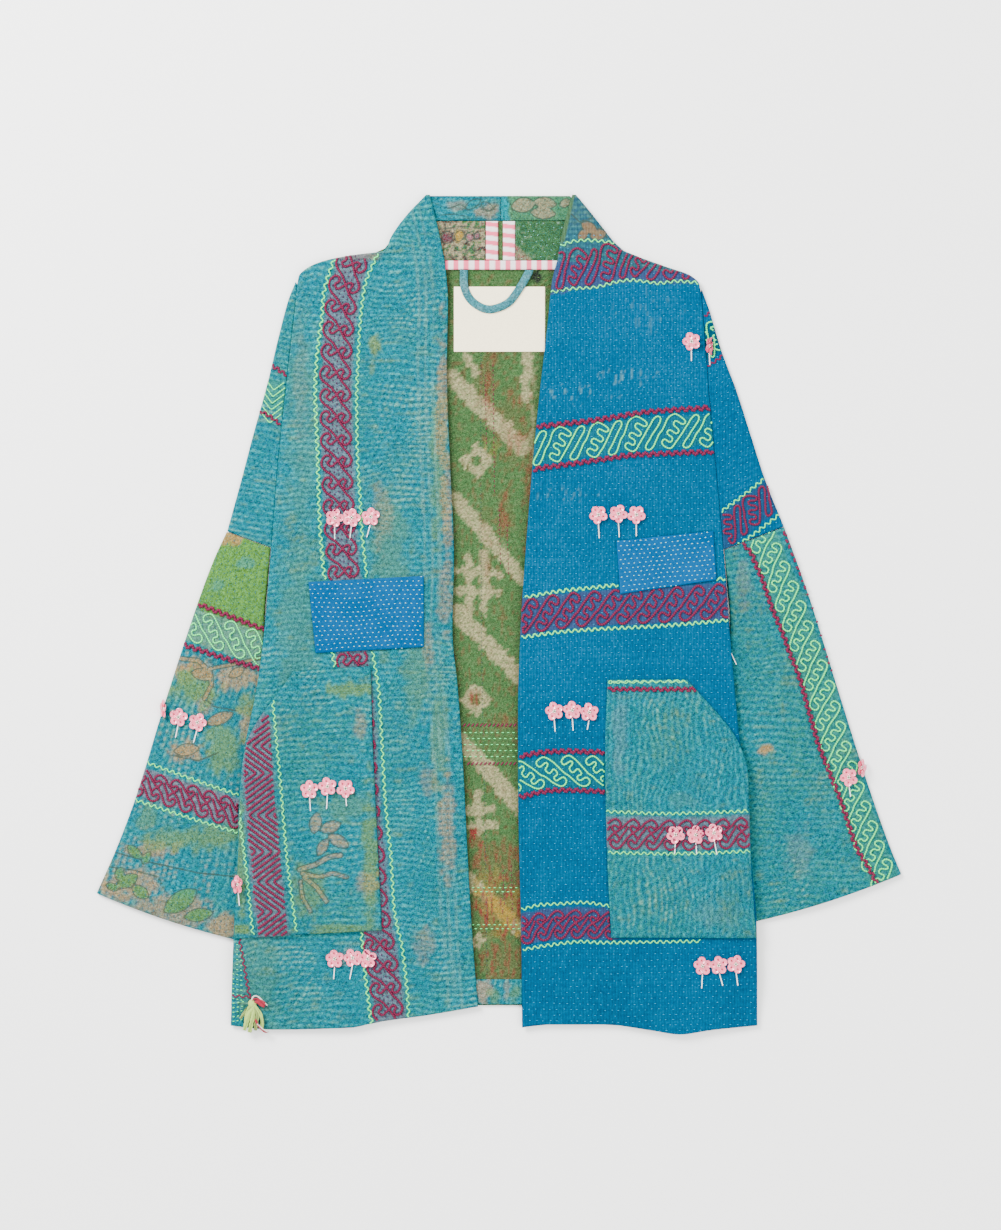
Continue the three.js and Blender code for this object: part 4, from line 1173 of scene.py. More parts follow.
PLAIN = {"leaves": (), "stalks": ()}
COLLAR_LEFT_TIP = {
    "leaves": ((90, 386, 18, 11, -30), (99, 379, 17, 11, 15), (84, 379, 14, 9, 50)),
    "stalks": ((0.2, (72, 400), (80, 392), (92, 395), (97, 404)), (0.2, (105, 392), (101, 384), (108, 376))),
}
COLLAR_BLOBS = {
    "leaves": ((24, 409, 24, 15, 8), (46, 411, 24, 12, -6), (44, 401, 26, 12, -4), (66, 411, 12, 8, 30)),
    "stalks": ((0.2, (6, 416), (14, 408), (12, 398)),),
}
COLLAR_LINES = {
    "leaves": ((-26, 410, 18, 8, 30), (-12, 408, 14, 7, -30)),
    "stalks": (
        (0.2, (-66, 412), (-52, 405), (-38, 410), (-30, 402)),
        (0.2, (-24, 415), (-18, 405), (-8, 402), (-2, 410)), (0.2, (-60, 399), (-44, 400), (-30, 397)),
    ),
}
FACING_FRUIT = {
    "leaves": (
        (-52, 376.5, 13, 11, 70), (-39.5, 378, 12, 9, 60), (-29, 377.5, 11, 8, 60), (-22, 378.5, 8, 5, 80),
    ),
    "stalks": (
        (0.2, (-64, 384), (-50, 386), (-34, 388), (-18, 385)), (0.2, (-34, 362), (-28, 366), (-20, 360)),
        (0.2, (-62, 359), (-50, 356), (-40, 358)),
    ),
}
SLEEVE_LEAVES = {
    "leaves": (
        (-364, -237, 19, 10, -45), (-352, -243, 15, 8, 60), (-371, -266, 24, 13, 28),
        (-358, -277, 20, 12, -35), (-379, -259, 14, 9, 75), (-386, -272, 14, 8, -20),
        (-318, -286, 40, 19, 34), (-300, -300, 30, 13, 10), (-279, -104, 30, 12, 22),
        (-312, -135, 26, 12, 8), (-296, -60, 24, 12, -12), (-262, -58, 18, 9, 30),
    ),
    "stalks": (
        (2.2, (-318, -44), (-300, -46), (-288, -58), (-287, -70), (-294, -84)),
        (1.8, (-236, -43), (-262, -49), (-288, -54)), (0.3, (-294, -84), (-284, -92), (-262, -96)),
        (0.3, (-388, -236), (-350, -247), (-300, -258), (-262, -262)),
        (0.3, (-390, -252), (-366, -255), (-340, -262), (-332, -280)),
        (0.3, (-330, -140), (-300, -146), (-280, -138)),
    ),
}
POCKET_PETALS = {
    "leaves": (
        (-183, -208, 22, 12, 80), (-168, -212, 22, 12, 20), (-160, -226, 24, 12, -30),
        (-176, -232, 20, 10, 60),
    ),
    "stalks": (
        (2.6, (-199, -254), (-184, -250), (-170, -242), (-158, -240)),
        (2.2, (-196, -258), (-180, -262), (-166, -258), (-152, -262)),
        (2.4, (-194, -262), (-182, -272), (-172, -286)), (2.0, (-198, -266), (-196, -282), (-188, -296)),
    ),
}


# Materials
DIM = 0.67  # dyes are darker than on screen, because the studio's light is strong


def node(tree, kind, inputs=None, **settings):
    """Adds a node with its settings, its values and its links."""
    made = tree.nodes.new(kind)
    for key, value in settings.items():
        setattr(made, key, value)
    for key, value in (inputs or {}).items():
        if isinstance(value, bpy.types.NodeSocket):
            tree.links.new(value, made.inputs[key])
        else:
            made.inputs[key].default_value = value
    return made


def bare_material(name):
    material = bpy.data.materials.new(name)
    material.use_nodes = True
    material.node_tree.nodes.clear()
    return material, material.node_tree


def finish_material(tree, shader):
    node(tree, "ShaderNodeOutputMaterial", {"Surface": shader.outputs["BSDF"]})


def quilted_cotton(
    name, thread=1.0, relief=0.5, grain=0.56, bare=0.3, undyed=0x2CA298, lined=False, rib=0.0
):
    """Worn plain-woven cotton: matt, slightly fuzzy, its dye uneven from thread to thread, with flecks
    of undyed thread. Threads of real voile are 0.2 mm across and wouldn't show: these are 1 mm."""
    material, tree = bare_material(name)
    place = node(tree, "ShaderNodeTexCoord").outputs["Object"]
    dye = node(tree, "ShaderNodeAttribute", attribute_name="dye")
    per_metre = 1 / (thread * MM)
    threads = node(
        tree, "ShaderNodeTexNoise", {"Vector": place, "Scale": per_metre, "Detail": 1.0, "Roughness": 0.6}
    )
    shade = node(
        tree, "ShaderNodeMapRange",
        {
            "Value": threads.outputs["Fac"], "From Min": 0.3, "From Max": 0.7, "To Min": 1 - grain,
            "To Max": 1 + grain,
        },
    )
    mottle = node(tree, "ShaderNodeTexNoise", {"Vector": place, "Scale": 0.36 * per_metre, "Detail": 1.0})
    patchy = node(
        tree, "ShaderNodeMapRange",
        {
            "Value": mottle.outputs["Fac"], "From Min": 0.3, "From Max": 0.7, "To Min": 1 - 0.6 * grain,
            "To Max": 1 + 0.6 * grain,
        },
    )
    shade = node(
        tree, "ShaderNodeMath", {0: shade.outputs["Result"], 1: patchy.outputs["Result"]},
        operation="MULTIPLY",
    )
    flecks = node(tree, "ShaderNodeTexNoise", {"Vector": place, "Scale": 1.15 * per_metre, "Detail": 1.0})
    worn = node(
        tree, "ShaderNodeMapRange",
        {"Value": flecks.outputs["Fac"], "From Min": 0.5, "From Max": 0.68, "To Min": 0.0, "To Max": bare},
    )
    colour = node(
        tree, "ShaderNodeMix", {"Factor": 1.0, "A": dye.outputs["Color"], "B": shade.outputs["Value"]},
        data_type="RGBA", blend_type="MULTIPLY",
    )
    colour = node(
        tree, "ShaderNodeMix",
        {"Factor": worn.outputs["Result"], "A": colour.outputs["Result"], "B": (*DIM * linear(undyed), 1)},
        data_type="RGBA",
    )
    if rib:
        cord = node(
            tree, "ShaderNodeTexWave",
            {
                "Vector": place, "Scale": 2 * pi / (20 * rib * MM), "Distortion": 1.6, "Detail": 1.0,
                "Detail Scale": 2.0,
            },
        )
        span = {"Value": cord.outputs["Fac"], "To Min": 0.86, "To Max": 1.12}
        band = node(tree, "ShaderNodeMapRange", span)
        colour = node(
            tree, "ShaderNodeMix",
            {"Factor": 1.0, "A": colour.outputs["Result"], "B": band.outputs["Result"]},
            data_type="RGBA", blend_type="MULTIPLY",
        )
    if lined:
        figure = node(tree, "ShaderNodeAttribute", attribute_name="figure")
        gap = node(tree, "ShaderNodeMath", {0: figure.outputs["Fac"]}, operation="ABSOLUTE")
        line = node(
            tree, "ShaderNodeMapRange",
            {"Value": gap.outputs["Value"], "From Min": 0.3, "From Max": 0.8, "To Min": 0.8, "To Max": 0.0},
        )
        colour = node(
            tree, "ShaderNodeMix",
            {
                "Factor": line.outputs["Result"], "A": colour.outputs["Result"],
                "B": (*DIM * linear(0x34423A), 1),
            },
            data_type="RGBA",
        )
    bump = node(
        tree, "ShaderNodeBump",
        {"Height": threads.outputs["Fac"], "Strength": relief, "Distance": 0.5 * MM},
    )
    shader = node(
        tree, "ShaderNodeBsdfPrincipled",
        {
            "Base Color": colour.outputs["Result"], "Roughness": 0.92, "Normal": bump.outputs["Normal"],
            "Specular IOR Level": 0.0, "Sheen Weight": 0.005, "Sheen Roughness": 0.5,
        },
    )
    finish_material(tree, shader)
    return material


PLY_PER_METRE = 1400.0  # a strand's ply turns about every 0.7 mm


def thread_material(name, code, roughness=0.7):
    """Twisted cotton embroidery thread: a soft lustre, its ply showing as uneven shade."""
    material, tree = bare_material(name)
    place = node(tree, "ShaderNodeTexCoord").outputs["Object"]
    ply = node(tree, "ShaderNodeTexNoise", {"Vector": place, "Scale": PLY_PER_METRE, "Detail": 1.0})
    shade = node(
        tree, "ShaderNodeMapRange",
        {"Value": ply.outputs["Fac"], "From Min": 0.3, "From Max": 0.7, "To Min": 0.8, "To Max": 1.15},
    )
    colour = node(
        tree, "ShaderNodeMix",
        {"Factor": 1.0, "A": (*DIM * linear(code), 1), "B": shade.outputs["Result"]},
        data_type="RGBA", blend_type="MULTIPLY",
    )
    shader = node(
        tree, "ShaderNodeBsdfPrincipled",
        {"Base Color": colour.outputs["Result"], "Roughness": roughness, "Specular IOR Level": 0.25},
    )
    finish_material(tree, shader)
    return material


def gloss_material(name, code, roughness, coat=0.0, metallic=0.0):
    """Polished film or glass: small sharp highlights over the colour, and a mirror's where it's silvered."""
    material, tree = bare_material(name)
    shader = node(
        tree, "ShaderNodeBsdfPrincipled",
        {
            "Base Color": (*0.92 * linear(code), 1), "Roughness": roughness, "Coat Weight": coat,
            "Coat Roughness": 0.12, "Metallic": metallic,
        },
    )
    finish_material(tree, shader)
    return material


QUILTED = quilted_cotton("worn quilted cotton")
PRINTED = quilted_cotton("worn printed cotton with outlined leaves", lined=True)
BLUE_CLOTH = quilted_cotton("blue ribbed cotton", grain=0.2, bare=0.06, undyed=0x0088B0, lined=True, rib=2.9)
PATCH_CLOTH = quilted_cotton("bright blue cotton", thread=0.8, grain=0.16, bare=0.0)
LINING = quilted_cotton("tied and dyed green cotton", grain=0.45, bare=0.3, undyed=0x7A8C62)
SMOOTH_TAPE = quilted_cotton("smooth woven cotton tape", thread=0.7, relief=0.15, grain=0.05, bare=0.0)
RED_THREAD = thread_material("dark red stranded cotton", 0x72083A)
MAROON_THREAD = thread_material("faded maroon cotton", 0x4A1E48)
GREEN_THREAD = thread_material("pale green stranded cotton", 0x5CF88C)
WHITE_THREAD = thread_material("white cotton thread", 0xB0FFFF)
CYAN_THREAD = thread_material("pale blue quilting cotton", 0x0AB2E0)
TEAL_THREAD = thread_material("teal quilting cotton", 0x236C7C)
LEAF_THREAD = thread_material("grass green quilting cotton", 0x5A8040)
DARK_THREAD = thread_material("dark grey sewing cotton", 0x37505A)
PINK_SEQUIN = gloss_material("pearl pink PET sequin", 0xF26C8A, 0.2, coat=1.0)
SILVER_BUGLE = gloss_material("silver-lined glass bugle bead", 0xF2F8FA, 0.2, coat=0.6, metallic=0.7)
GOLD_BEAD = gloss_material("lined glass seed bead", 0xF3E3D0, 0.12, coat=1.0)
RED_BEAD = gloss_material("dark red glass seed bead", 0x8E2A33, 0.2, coat=0.8)
RAG_LIME = thread_material("torn lime cotton rag", 0xB4D16A, 0.9)
RAG_OLIVE = thread_material("torn olive cotton rag", 0x8FA35A, 0.9)
RAG_RED = thread_material("torn dark red cotton rag", 0xA5283C, 0.9)
RAG_WHITE = thread_material("torn white cotton rag", 0xEDE9DC, 0.9)
RAG_BLACK = thread_material("torn black cotton rag", 0x2A2A30, 0.9)


# Cloth pieces
def add_object(name, mesh, material):
    made = bpy.data.objects.new(name, mesh)
    bpy.context.scene.collection.objects.link(made)
    if material:
        mesh.materials.append(material)
    return made


def store(mesh, name, values, kind, key):
    attribute = mesh.attributes.new(name, kind, "POINT")
    attribute.data.foreach_set(key, np.ascontiguousarray(values, dtype=np.float32).ravel())


SURFACES = {}
CLOTH_SHADE, BLUE_SHADE, BINDING_SHADE = 0.28, 0.2, 0.7  # how much of a dye's hex value its cloth gives back


def sew(
    cad_node, wall, dye, area,
    material=QUILTED, prints=PLAIN, shade=CLOTH_SHADE,
):
    """Makes a cloth piece, dyes it point by point and puts it in its CAD node's place."""
    mesh = wall.mesh(cad_node)
    points = np.concatenate(wall.points)
    x, y = points[:, 0], points[:, 1]
    colour = np.clip(dye(x, y) * shade, 0, 1)
    store(mesh, "dye", np.c_[colour, np.ones(len(colour))], "FLOAT_COLOR", "color")
    store(mesh, "figure", figures(x, y, prints), "FLOAT", "value")
    piece = add_object(f"{cad_node}_cloth", mesh, material)
    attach(piece, "root")
    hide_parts(cad_node)
    SURFACES[cad_node] = BVHTree.FromPolygons(mesh_points(mesh), [p.vertices[:] for p in mesh.polygons])
    return piece


def mesh_points(mesh):
    return [v.co.copy() for v in mesh.vertices]


def cloth_area(rows):
    """Flat area of a front panel between its side and centre edges, in square metres."""
    y = np.linspace(HEM_BASE, COLLAR_TOP, 200)
    width = np.abs(flow(rows, "y", "centre", y) - flow(rows, "y", "side", y))
    return float(np.mean(width) * (COLLAR_TOP - HEM_BASE) * MM * MM)


def sleeve_cut(name, body=None):
    """Flat width and length of a sleeve, all round it, and its area."""
    rows = SLEEVES[name]
    inner = rows["inner_x"] if body is None else flow(body, "y", "side", rows["inner_y"])
    width = np.hypot(inner - rows["outer_x"], rows["inner_y"] - rows["outer_y"])
    middle_x, middle_y = (inner + rows["outer_x"]) / 2, (rows["inner_y"] + rows["outer_y"]) / 2
    length = np.hypot(np.diff(middle_x), np.diff(middle_y)).sum()
    share = np.linspace(0, 1, 50)
    area = 2 * float(np.mean(np.interp(share, rows["share"], width))) * length * MM * MM
    return (2 * width.max() * MM, length * MM * 1.05), area


sew(
    "front_right", front_wall(RIGHT_FRONT, RIGHT_HEM, QUILTS["front_right"]),
    dye_front_right, cloth_area(RIGHT_FRONT),
)
sew(
    "front_left", front_wall(LEFT_FRONT, LEFT_HEM, QUILTS["front_left"]),
    dye_front_left, cloth_area(LEFT_FRONT),
    material=BLUE_CLOTH, prints=COLLAR_LEFT_TIP, shade=BLUE_SHADE,
)
sew(
    "back_panel", back_wall(QUILTS["back_panel"]), dye_back, 0.362,
    material=LINING,
)
for name, dye, slot, material, prints in (
    ("sleeve_lower_right", dye_floral_sleeve, "floral_quilt", PRINTED, SLEEVE_LEAVES),
    ("sleeve_lower_left", dye_teal_sleeve, "teal_quilt", QUILTED, PLAIN),
):
    flat, area = sleeve_cut(name)
    wall = sleeve_wall(name, LOWER_LENGTH, QUILTS[name])
    sew(name, wall, dye, area, material=material, prints=prints)
for name, dye, slot, body, material, shade in (
    ("sleeve_upper_right", dye_upper_right_sleeve, "teal_quilt", RIGHT_FRONT, QUILTED, CLOTH_SHADE),
    ("sleeve_upper_left", dye_blue_sleeve, "blue_quilt", LEFT_FRONT, BLUE_CLOTH, BLUE_SHADE),
):
    flat, area = sleeve_cut(name, body)
    wall = sleeve_wall(name, UPPER_LENGTH, QUILTS[name], body)
    sew(name, wall, dye, area, material=material, shade=shade)
sew(
    "pocket_right", on_front_wall(RIGHT_FRONT, RIGHT_POCKET, 5, 8, POCKET_WALL, QUILTS["pocket_right"]),
    dye_right_pocket, 0.0345, material=PRINTED,
    prints=POCKET_PETALS,
)
sew(
    "pocket_left",
    on_front_wall(LEFT_FRONT, LEFT_POCKET, 0, 0, POCKET_WALL, QUILTS["pocket_left"], upright=True),
    dye_left_pocket, 0.034,
)
sew(
    "patch_right", on_front_wall(RIGHT_FRONT, RIGHT_PATCH, 6, 6, PATCH_WALL, QUILTS["patch_right"]),
    dye_patch, None, material=PATCH_CLOTH,
    shade=0.148,
)
sew(
    "patch_left", on_front_wall(LEFT_FRONT, LEFT_PATCH, -10, -14, PATCH_WALL, QUILTS["patch_left"]),
    dye_patch, None, material=PATCH_CLOTH,
    shade=0.158,
)
sew(
    "collar_back_right", collar_wall(-1, QUILTS["collar_back_right"]),
    dye_collar_right, 0.00198, material=PRINTED, prints=COLLAR_LINES,
)
sew(
    "collar_back_left", collar_wall(1, QUILTS["collar_back_left"]),
    dye_collar_left, 0.0019, material=PRINTED, prints=COLLAR_BLOBS,
)
NECK_PIECES = (  # piece, edges, wall, mesh step, dye, slot, flat size, material, prints, shade
    (
        "neck_facing_right", (-FACING_OUTER, -13.3, FACING_BOTTOM, FACING_TOP), FACING_WALL, 1.6,
        dye_facing_right, "facing_print", (0.065, 0.039), PRINTED, FACING_FRUIT, CLOTH_SHADE,
    ),
    (
        "neck_facing_left", (16.3, FACING_OUTER, FACING_BOTTOM, FACING_TOP), FACING_WALL, 1.6,
        dye_facing_left, "facing_green", (0.062, 0.039), QUILTED, PLAIN, CLOTH_SHADE,
    ),
    *(
        (
            name, (*edges, FACING_BOTTOM, FACING_TOP), BINDING_WALL, 1.0,
            dye_gingham_down, "gingham", (0.012, 0.039), SMOOTH_TAPE, PLAIN, BINDING_SHADE,
        )
        for name, edges in STRIP_EDGES.items()
    ),
    (
        "neck_binding", NECK_BINDING, NECK_BINDING_WALL, 1.0,
        dye_gingham_across, "gingham", (0.124, 0.011), SMOOTH_TAPE, PLAIN, BINDING_SHADE,
    ),
    ("label", LABEL, TAPE_WALL, 1.6, dye_label, "label_cloth", (0.091, 0.065), SMOOTH_TAPE, PLAIN, 0.93),
)
for name, edges, thick, step, dye, slot, flat, material, prints, shade in NECK_PIECES:
    wall = flat_wall(*edges, ON_BACK, thick, QUILTS.get(name), step)
    sew(
        name, wall, dye, None,
        material=material, prints=prints, shade=shade,
    )
sew(
    "hanger_loop", loop_wall(), dye_loop, None,
)
sew(
    "back_hem_tape", hem_tape_wall(QUILTS["back_hem_tape"]), dye_hem_tape, None,
)


# Sewing and beadwork
def sewing_tree():
    """Puts a shape on every point, turned and sized by the point's own attributes."""
    tree = bpy.data.node_groups.new("sewn on", "GeometryNodeTree")
    inputs = {"Geometry": "Geometry", "Shape": "Object", "Thickness": "Float", "Material": "Material"}
    for name, kind in inputs.items():
        tree.interface.new_socket(name, in_out="INPUT", socket_type="NodeSocket" + kind)
    tree.interface.new_socket("Geometry", in_out="OUTPUT", socket_type="NodeSocketGeometry")
    given = node(tree, "NodeGroupInput")
    shape = node(tree, "GeometryNodeObjectInfo", {"Object": given.outputs["Shape"]})
    turn = node(tree, "GeometryNodeInputNamedAttribute", {"Name": "turn"}, data_type="FLOAT_VECTOR")
    size = node(tree, "GeometryNodeInputNamedAttribute", {"Name": "size"}, data_type="FLOAT_VECTOR")
    rotation = node(tree, "FunctionNodeEulerToRotation", {"Euler": turn.outputs["Attribute"]})
    scale = node(
        tree, "ShaderNodeVectorMath",
        {0: size.outputs["Attribute"], "Scale": given.outputs["Thickness"]},
        operation="SCALE",
    )
    points = node(tree, "GeometryNodeMeshToPoints", {"Mesh": given.outputs["Geometry"]})
    placed = node(
        tree, "GeometryNodeInstanceOnPoints",
        {
            "Points": points.outputs["Points"], "Instance": shape.outputs["Geometry"],
            "Rotation": rotation.outputs["Rotation"], "Scale": scale.outputs["Vector"],
        },
    )
    real = node(tree, "GeometryNodeRealizeInstances", {"Geometry": placed.outputs["Instances"]})
    painted = node(
        tree, "GeometryNodeSetMaterial",
        {"Geometry": real.outputs["Geometry"], "Material": given.outputs["Material"]},
    )
    node(tree, "NodeGroupOutput", {0: painted.outputs["Geometry"]})
    return tree


SEWING = sewing_tree()


def shape(name, points, faces):
    mesh = bpy.data.meshes.new(name)
    mesh.from_pydata(points, [], faces)
    mesh.shade_smooth()
    return add_object(name, mesh, None)


def revolved(name, profile, sides):
    """Closed shape turned about X from (x, radius) pairs that start and end on the axis."""
    points = [(profile[0][0], 0, 0)]
    turns = [2 * pi * k / sides for k in range(sides)]
    for at, radius in profile[1:-1]:
        points += [(at, radius * cos(turn), radius * sin(turn)) for turn in turns]
    points.append((profile[-1][0], 0, 0))
    faces = [(0, 1 + (k + 1) % sides, 1 + k) for k in range(sides)]
    for ring in range(len(profile) - 3):
        a, b = 1 + ring * sides, 1 + (ring + 1) * sides
        faces += [(a + k, a + (k + 1) % sides, b + (k + 1) % sides, b + k) for k in range(sides)]
    last = 1 + (len(profile) - 3) * sides
    faces += [(len(points) - 1, last + k, last + (k + 1) % sides) for k in range(sides)]
    return shape(name, points, faces)


def dished_disc(name):
    """Cupped sequin of unit radius with its hole, cupped towards +Z."""
    sides = 12
    rings = ((0.16, 0.0), (0.5, 0.04), (0.82, 0.16), (1.0, 0.3))
    points = [
        (r * cos(2 * pi * k / sides), r * sin(2 * pi * k / sides), z + lift)
        for lift in (0.07, 0.0)
        for r, z in rings
        for k in range(sides)
    ]
    faces = []
    for k in range(sides):
        n = (k + 1) % sides
        for i in range(3):
            a, b = i * sides, (i + 1) * sides
            faces.append((a + k, b + k, b + n, a + n))
            c, d = a + 4 * sides, b + 4 * sides
            faces.append((c + k, c + n, d + n, d + k))
        faces.append((k, n, 4 * sides + n, 4 * sides + k))
        faces.append((3 * sides + k, 7 * sides + k, 7 * sides + n, 3 * sides + n))
    return shape(name, points, faces)


STITCH = revolved("stitch", ((-0.5, 0), (-0.3, 0.5), (0.3, 0.5), (0.5, 0)), 4)
SMALL_STITCH = revolved("small stitch", ((-0.5, 0), (0, 0.5), (0.5, 0)), 4)
BEAD = revolved("bead", ((-0.5, 0), (-0.35, 0.36), (0, 0.5), (0.35, 0.36), (0.5, 0)), 8)
TUBE = revolved("tube", ((-0.5, 0), (-0.5, 0.42), (-0.46, 0.5), (0.46, 0.5), (0.5, 0.42), (0.5, 0)), 8)
SEQUIN = dished_disc("sequin")


def sewn(name, shape, places, turns, sizes, material, slot):
    """One joined mesh of a shape repeated at places, in millimetres."""
    if not len(places):
        return None
    mesh = bpy.data.meshes.new(name)
    mesh.from_pydata((np.array(places) * MM).tolist(), [], [])
    store(mesh, "turn", turns, "FLOAT_VECTOR", "vector")
    store(mesh, "size", sizes, "FLOAT_VECTOR", "vector")
    carrier = add_object(name + " points", mesh, None)
    modifier = carrier.modifiers.new("sewn on", "NODES")
    modifier.node_group = SEWING
    sockets = {item.name: item.identifier for item in SEWING.interface.items_tree if item.in_out == "INPUT"}
    modifier[sockets["Shape"]] = shape
    modifier[sockets["Thickness"]] = MM
    modifier[sockets["Material"]] = material
    graph = bpy.context.evaluated_depsgraph_get()
    made = bpy.data.meshes.new_from_object(carrier.evaluated_get(graph), depsgraph=graph)
    made.name = name
    bpy.data.objects.remove(carrier)
    piece = add_object(name, made, None)
    if not made.materials:
        made.materials.append(material)
    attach(piece, "root")
    return piece


def level(cloth, x, y):
    """Height of a cloth's upper side at a place, or None off its edge."""
    hit = SURFACES[cloth].ray_cast(Vector((x * MM, y * MM, 0.1)), Vector((0, 0, -1)))[0]
    return None if hit is None else hit.z / MM


SHORTEST_STITCH = 0.2
STEEPEST_STITCH = 2.5  # rise from end to end, beyond which a stitch would cross a fold's edge


class Thread:
    """Stitches of one thread, gathered before they are sewn on in one go."""

    def __init__(self, name, material, slot, shape=None):
        self.name, self.material, self.slot, self.shape = name, material, slot, shape or STITCH
        self.places, self.turns, self.sizes = [], [], []

    def stitch(self, cloth, a, b, width, covers=(), lift=0.3, overlap=1.15):
        heights = [level(cloth, *a), level(cloth, *b)]
        if None in heights or any(level(c, *a) is not None or level(c, *b) is not None for c in covers):
            return
        start, end = np.array([*a, heights[0]]), np.array([*b, heights[1]])
        reach = end - start
        length = float(np.linalg.norm(reach))
        if length < SHORTEST_STITCH or abs(reach[2]) > STEEPEST_STITCH:
            return
        middle = (start + end) / 2
        crest = level(cloth, middle[0], middle[1])
        middle[2] = max(middle[2], crest if crest is not None else middle[2]) + lift * width
        self.places.append(middle)
        slope = atan2(reach[2], float(np.hypot(reach[0], reach[1])))
        self.turns.append((0, -slope, atan2(reach[1], reach[0])))
        self.sizes.append((length * overlap, width, width * 0.75))

    def line(self, cloth, points, width, covers=(), gap=0, step=2.6):
        """Back stitch along a line, or running stitch where there is a gap between stitches."""
        places = resampled(np.array(points, float), step)
        for k, (a, b) in enumerate(zip(places, places[1:])):
            if not gap or k % (gap + 1) == 0:
                self.stitch(cloth, a, b, width, covers)

    def sew(self):
        return sewn(self.name, self.shape, self.places, self.turns, self.sizes, self.material, self.slot)


red = Thread("red_embroidery", RED_THREAD, "red_thread")
green = Thread("green_embroidery", GREEN_THREAD, "green_thread")
maroon = Thread("maroon_specks", MAROON_THREAD, "red_thread", SMALL_STITCH)
white = Thread("white_running_stitches", WHITE_THREAD, "quilting_thread", SMALL_STITCH)
cyan = Thread("pale_blue_running_stitches", CYAN_THREAD, "quilting_thread", SMALL_STITCH)
teal = Thread("teal_running_stitches", TEAL_THREAD, "quilting_thread", SMALL_STITCH)
leaf = Thread("green_running_stitches", LEAF_THREAD, "quilting_thread", SMALL_STITCH)
dark = Thread("dark_seam_stitches", DARK_THREAD, "quilting_thread", SMALL_STITCH)

RNG = np.random.default_rng(7)


def along_line(line, step):
    """Places a step apart along a smooth line, and the directions square to it."""
    places = smooth_path(line, step)
    along = directions(places)
    return places, np.stack([-along[:, 1], along[:, 0]], -1)


def zigzag(thread, cloth, line, pitch, swing, width, covers=()):
    """Border of back stitch that swings from side to side, a little rounded at its turns."""
    places, normal = along_line(line, pitch / 6)
    side = np.interp(np.arange(len(places)) % 6, (0, 1, 2, 3, 4, 5, 6), (0, 0.8, 0.95, 0, -0.8, -0.95, 0))
    waver = 1 + 0.14 * RNG.uniform(-1, 1, len(places))
    points = places + normal * (side * waver * swing)[:, None]
    thread.line(cloth, points, width, covers, step=pitch * 0.36)


def borders(cloth, covers, *rows):
    """Zigzag borders, each with its thread, pitch, swing, width and the places that it runs through."""
    for thread, pitch, swing, width, *line in rows:
        zigzag(thread, cloth, line, pitch, swing, width, covers)


def repeat_motif(thread, cloth, line, strokes, pitch, width, start=0.0, stretch=1.0, covers=(), step=2.3):
    """Lays a motif's strokes (along, across) again and again along a band's centre line."""
    places, normal = along_line(line, 0.5)
    total = 0.5 * (len(places) - 1)
    for cell in range(-1, int(total / pitch) + 2):
        for stroke in strokes:
            fine = smooth_path(stroke, 0.6)
            at = start + cell * pitch + fine[:, 0]
            inside = (at >= 0) & (at <= total)
            index = np.clip((at / 0.5).astype(int), 0, len(places) - 1)
            laid = places[index] + normal[index] * (fine[:, 1] * stretch)[:, None]
            laid = laid + 0.25 * np.stack([cloud(laid[:, 0], laid[:, 1], 5, s) for s in (901, 902)], -1)
            kept = laid[inside]
            if len(kept) > 3:
                thread.line(cloth, kept, width, covers, step=step)


SCROLL_LEFT = (
    (0, 0), (2.8, -3.2), (5.8, -7), (2, -11), (0, -8.4), (-2.8, -6.8), (-5.8, -9.8), (-4.8, -13.2),
    (-1.2, -16), (2.8, -16.6), (6.8, -15), (10.8, -10.8), (14.2, -6.2), (18, -3), (22, 0),
)
SCROLL_RIGHT = (
    (0, 0), (-2, 1.8), (-3.8, 4.8), (-1, 7.5), (3.8, 4.5), (6.8, 8), (4.2, 11.8), (0.2, 13.8), (-3.2, 12.8),
    (-8.2, 9.8), (-11.8, 6.2), (-17.8, 2.2), (-22, 0),
)
SCROLL_BAR = ((6.2, -6.6), (8.2, -3.2), (11, 0), (13.8, 3.2), (15.8, 6.6))
SCROLL = (SCROLL_LEFT, SCROLL_RIGHT, SCROLL_BAR)
COMB_TEETH = (
    (-14.7, -2.9), (-10, 2.9), (-5.3, 12.1), (-1.3, 16.2), (4, 17.1), (12.7, 10), (10, 6.4), (3.3, 10.8),
    (0.7, 6.6), (6, 1), (3.3, -2.5), (-3.3, 1.8), (-6.3, -1.7), (-0.7, -6.6), (-3.3, -10.8), (-8.7, -7.3),
    (-12, -10.8), (-8, -15.4), (-3, -16.8), (2, -11.5), (8, -3.6), (13.5, 4.6), (19, 12.6), (22.5, 15.6),
    (26.2, 14.6), (26, 10.6), (21.5, 4), (16, -4), (10.5, -11.4), (9.2, -15.4), (12.5, -17.2), (17, -14.4),
    (23.3, -2.9),
)
COMB = (
    (-10, -2), (-6, 7.3), (-1.3, 16), (2.7, 16.8), (8.7, 12), (8, 6.7), (0.7, 11.3), (0.7, 7.3), (4.7, 3.3),
    (3.3, -2), (-2.7, 2.7), (-4, -3.3), (0.7, -6), (0, -10.7), (-7.3, -6.7), (-9.3, -11.3), (-4.7, -16.2),
    (0, -16.2), (4.7, -10.7), (8, -5), (10.9, -2),
)


def widened(strokes, along=1.0, across=1.0, mirror=False, lean=0.0):
    sign = -1 if mirror else 1
    return [[(u * along * sign - v * lean, v * across) for u, v in stroke] for stroke in strokes]


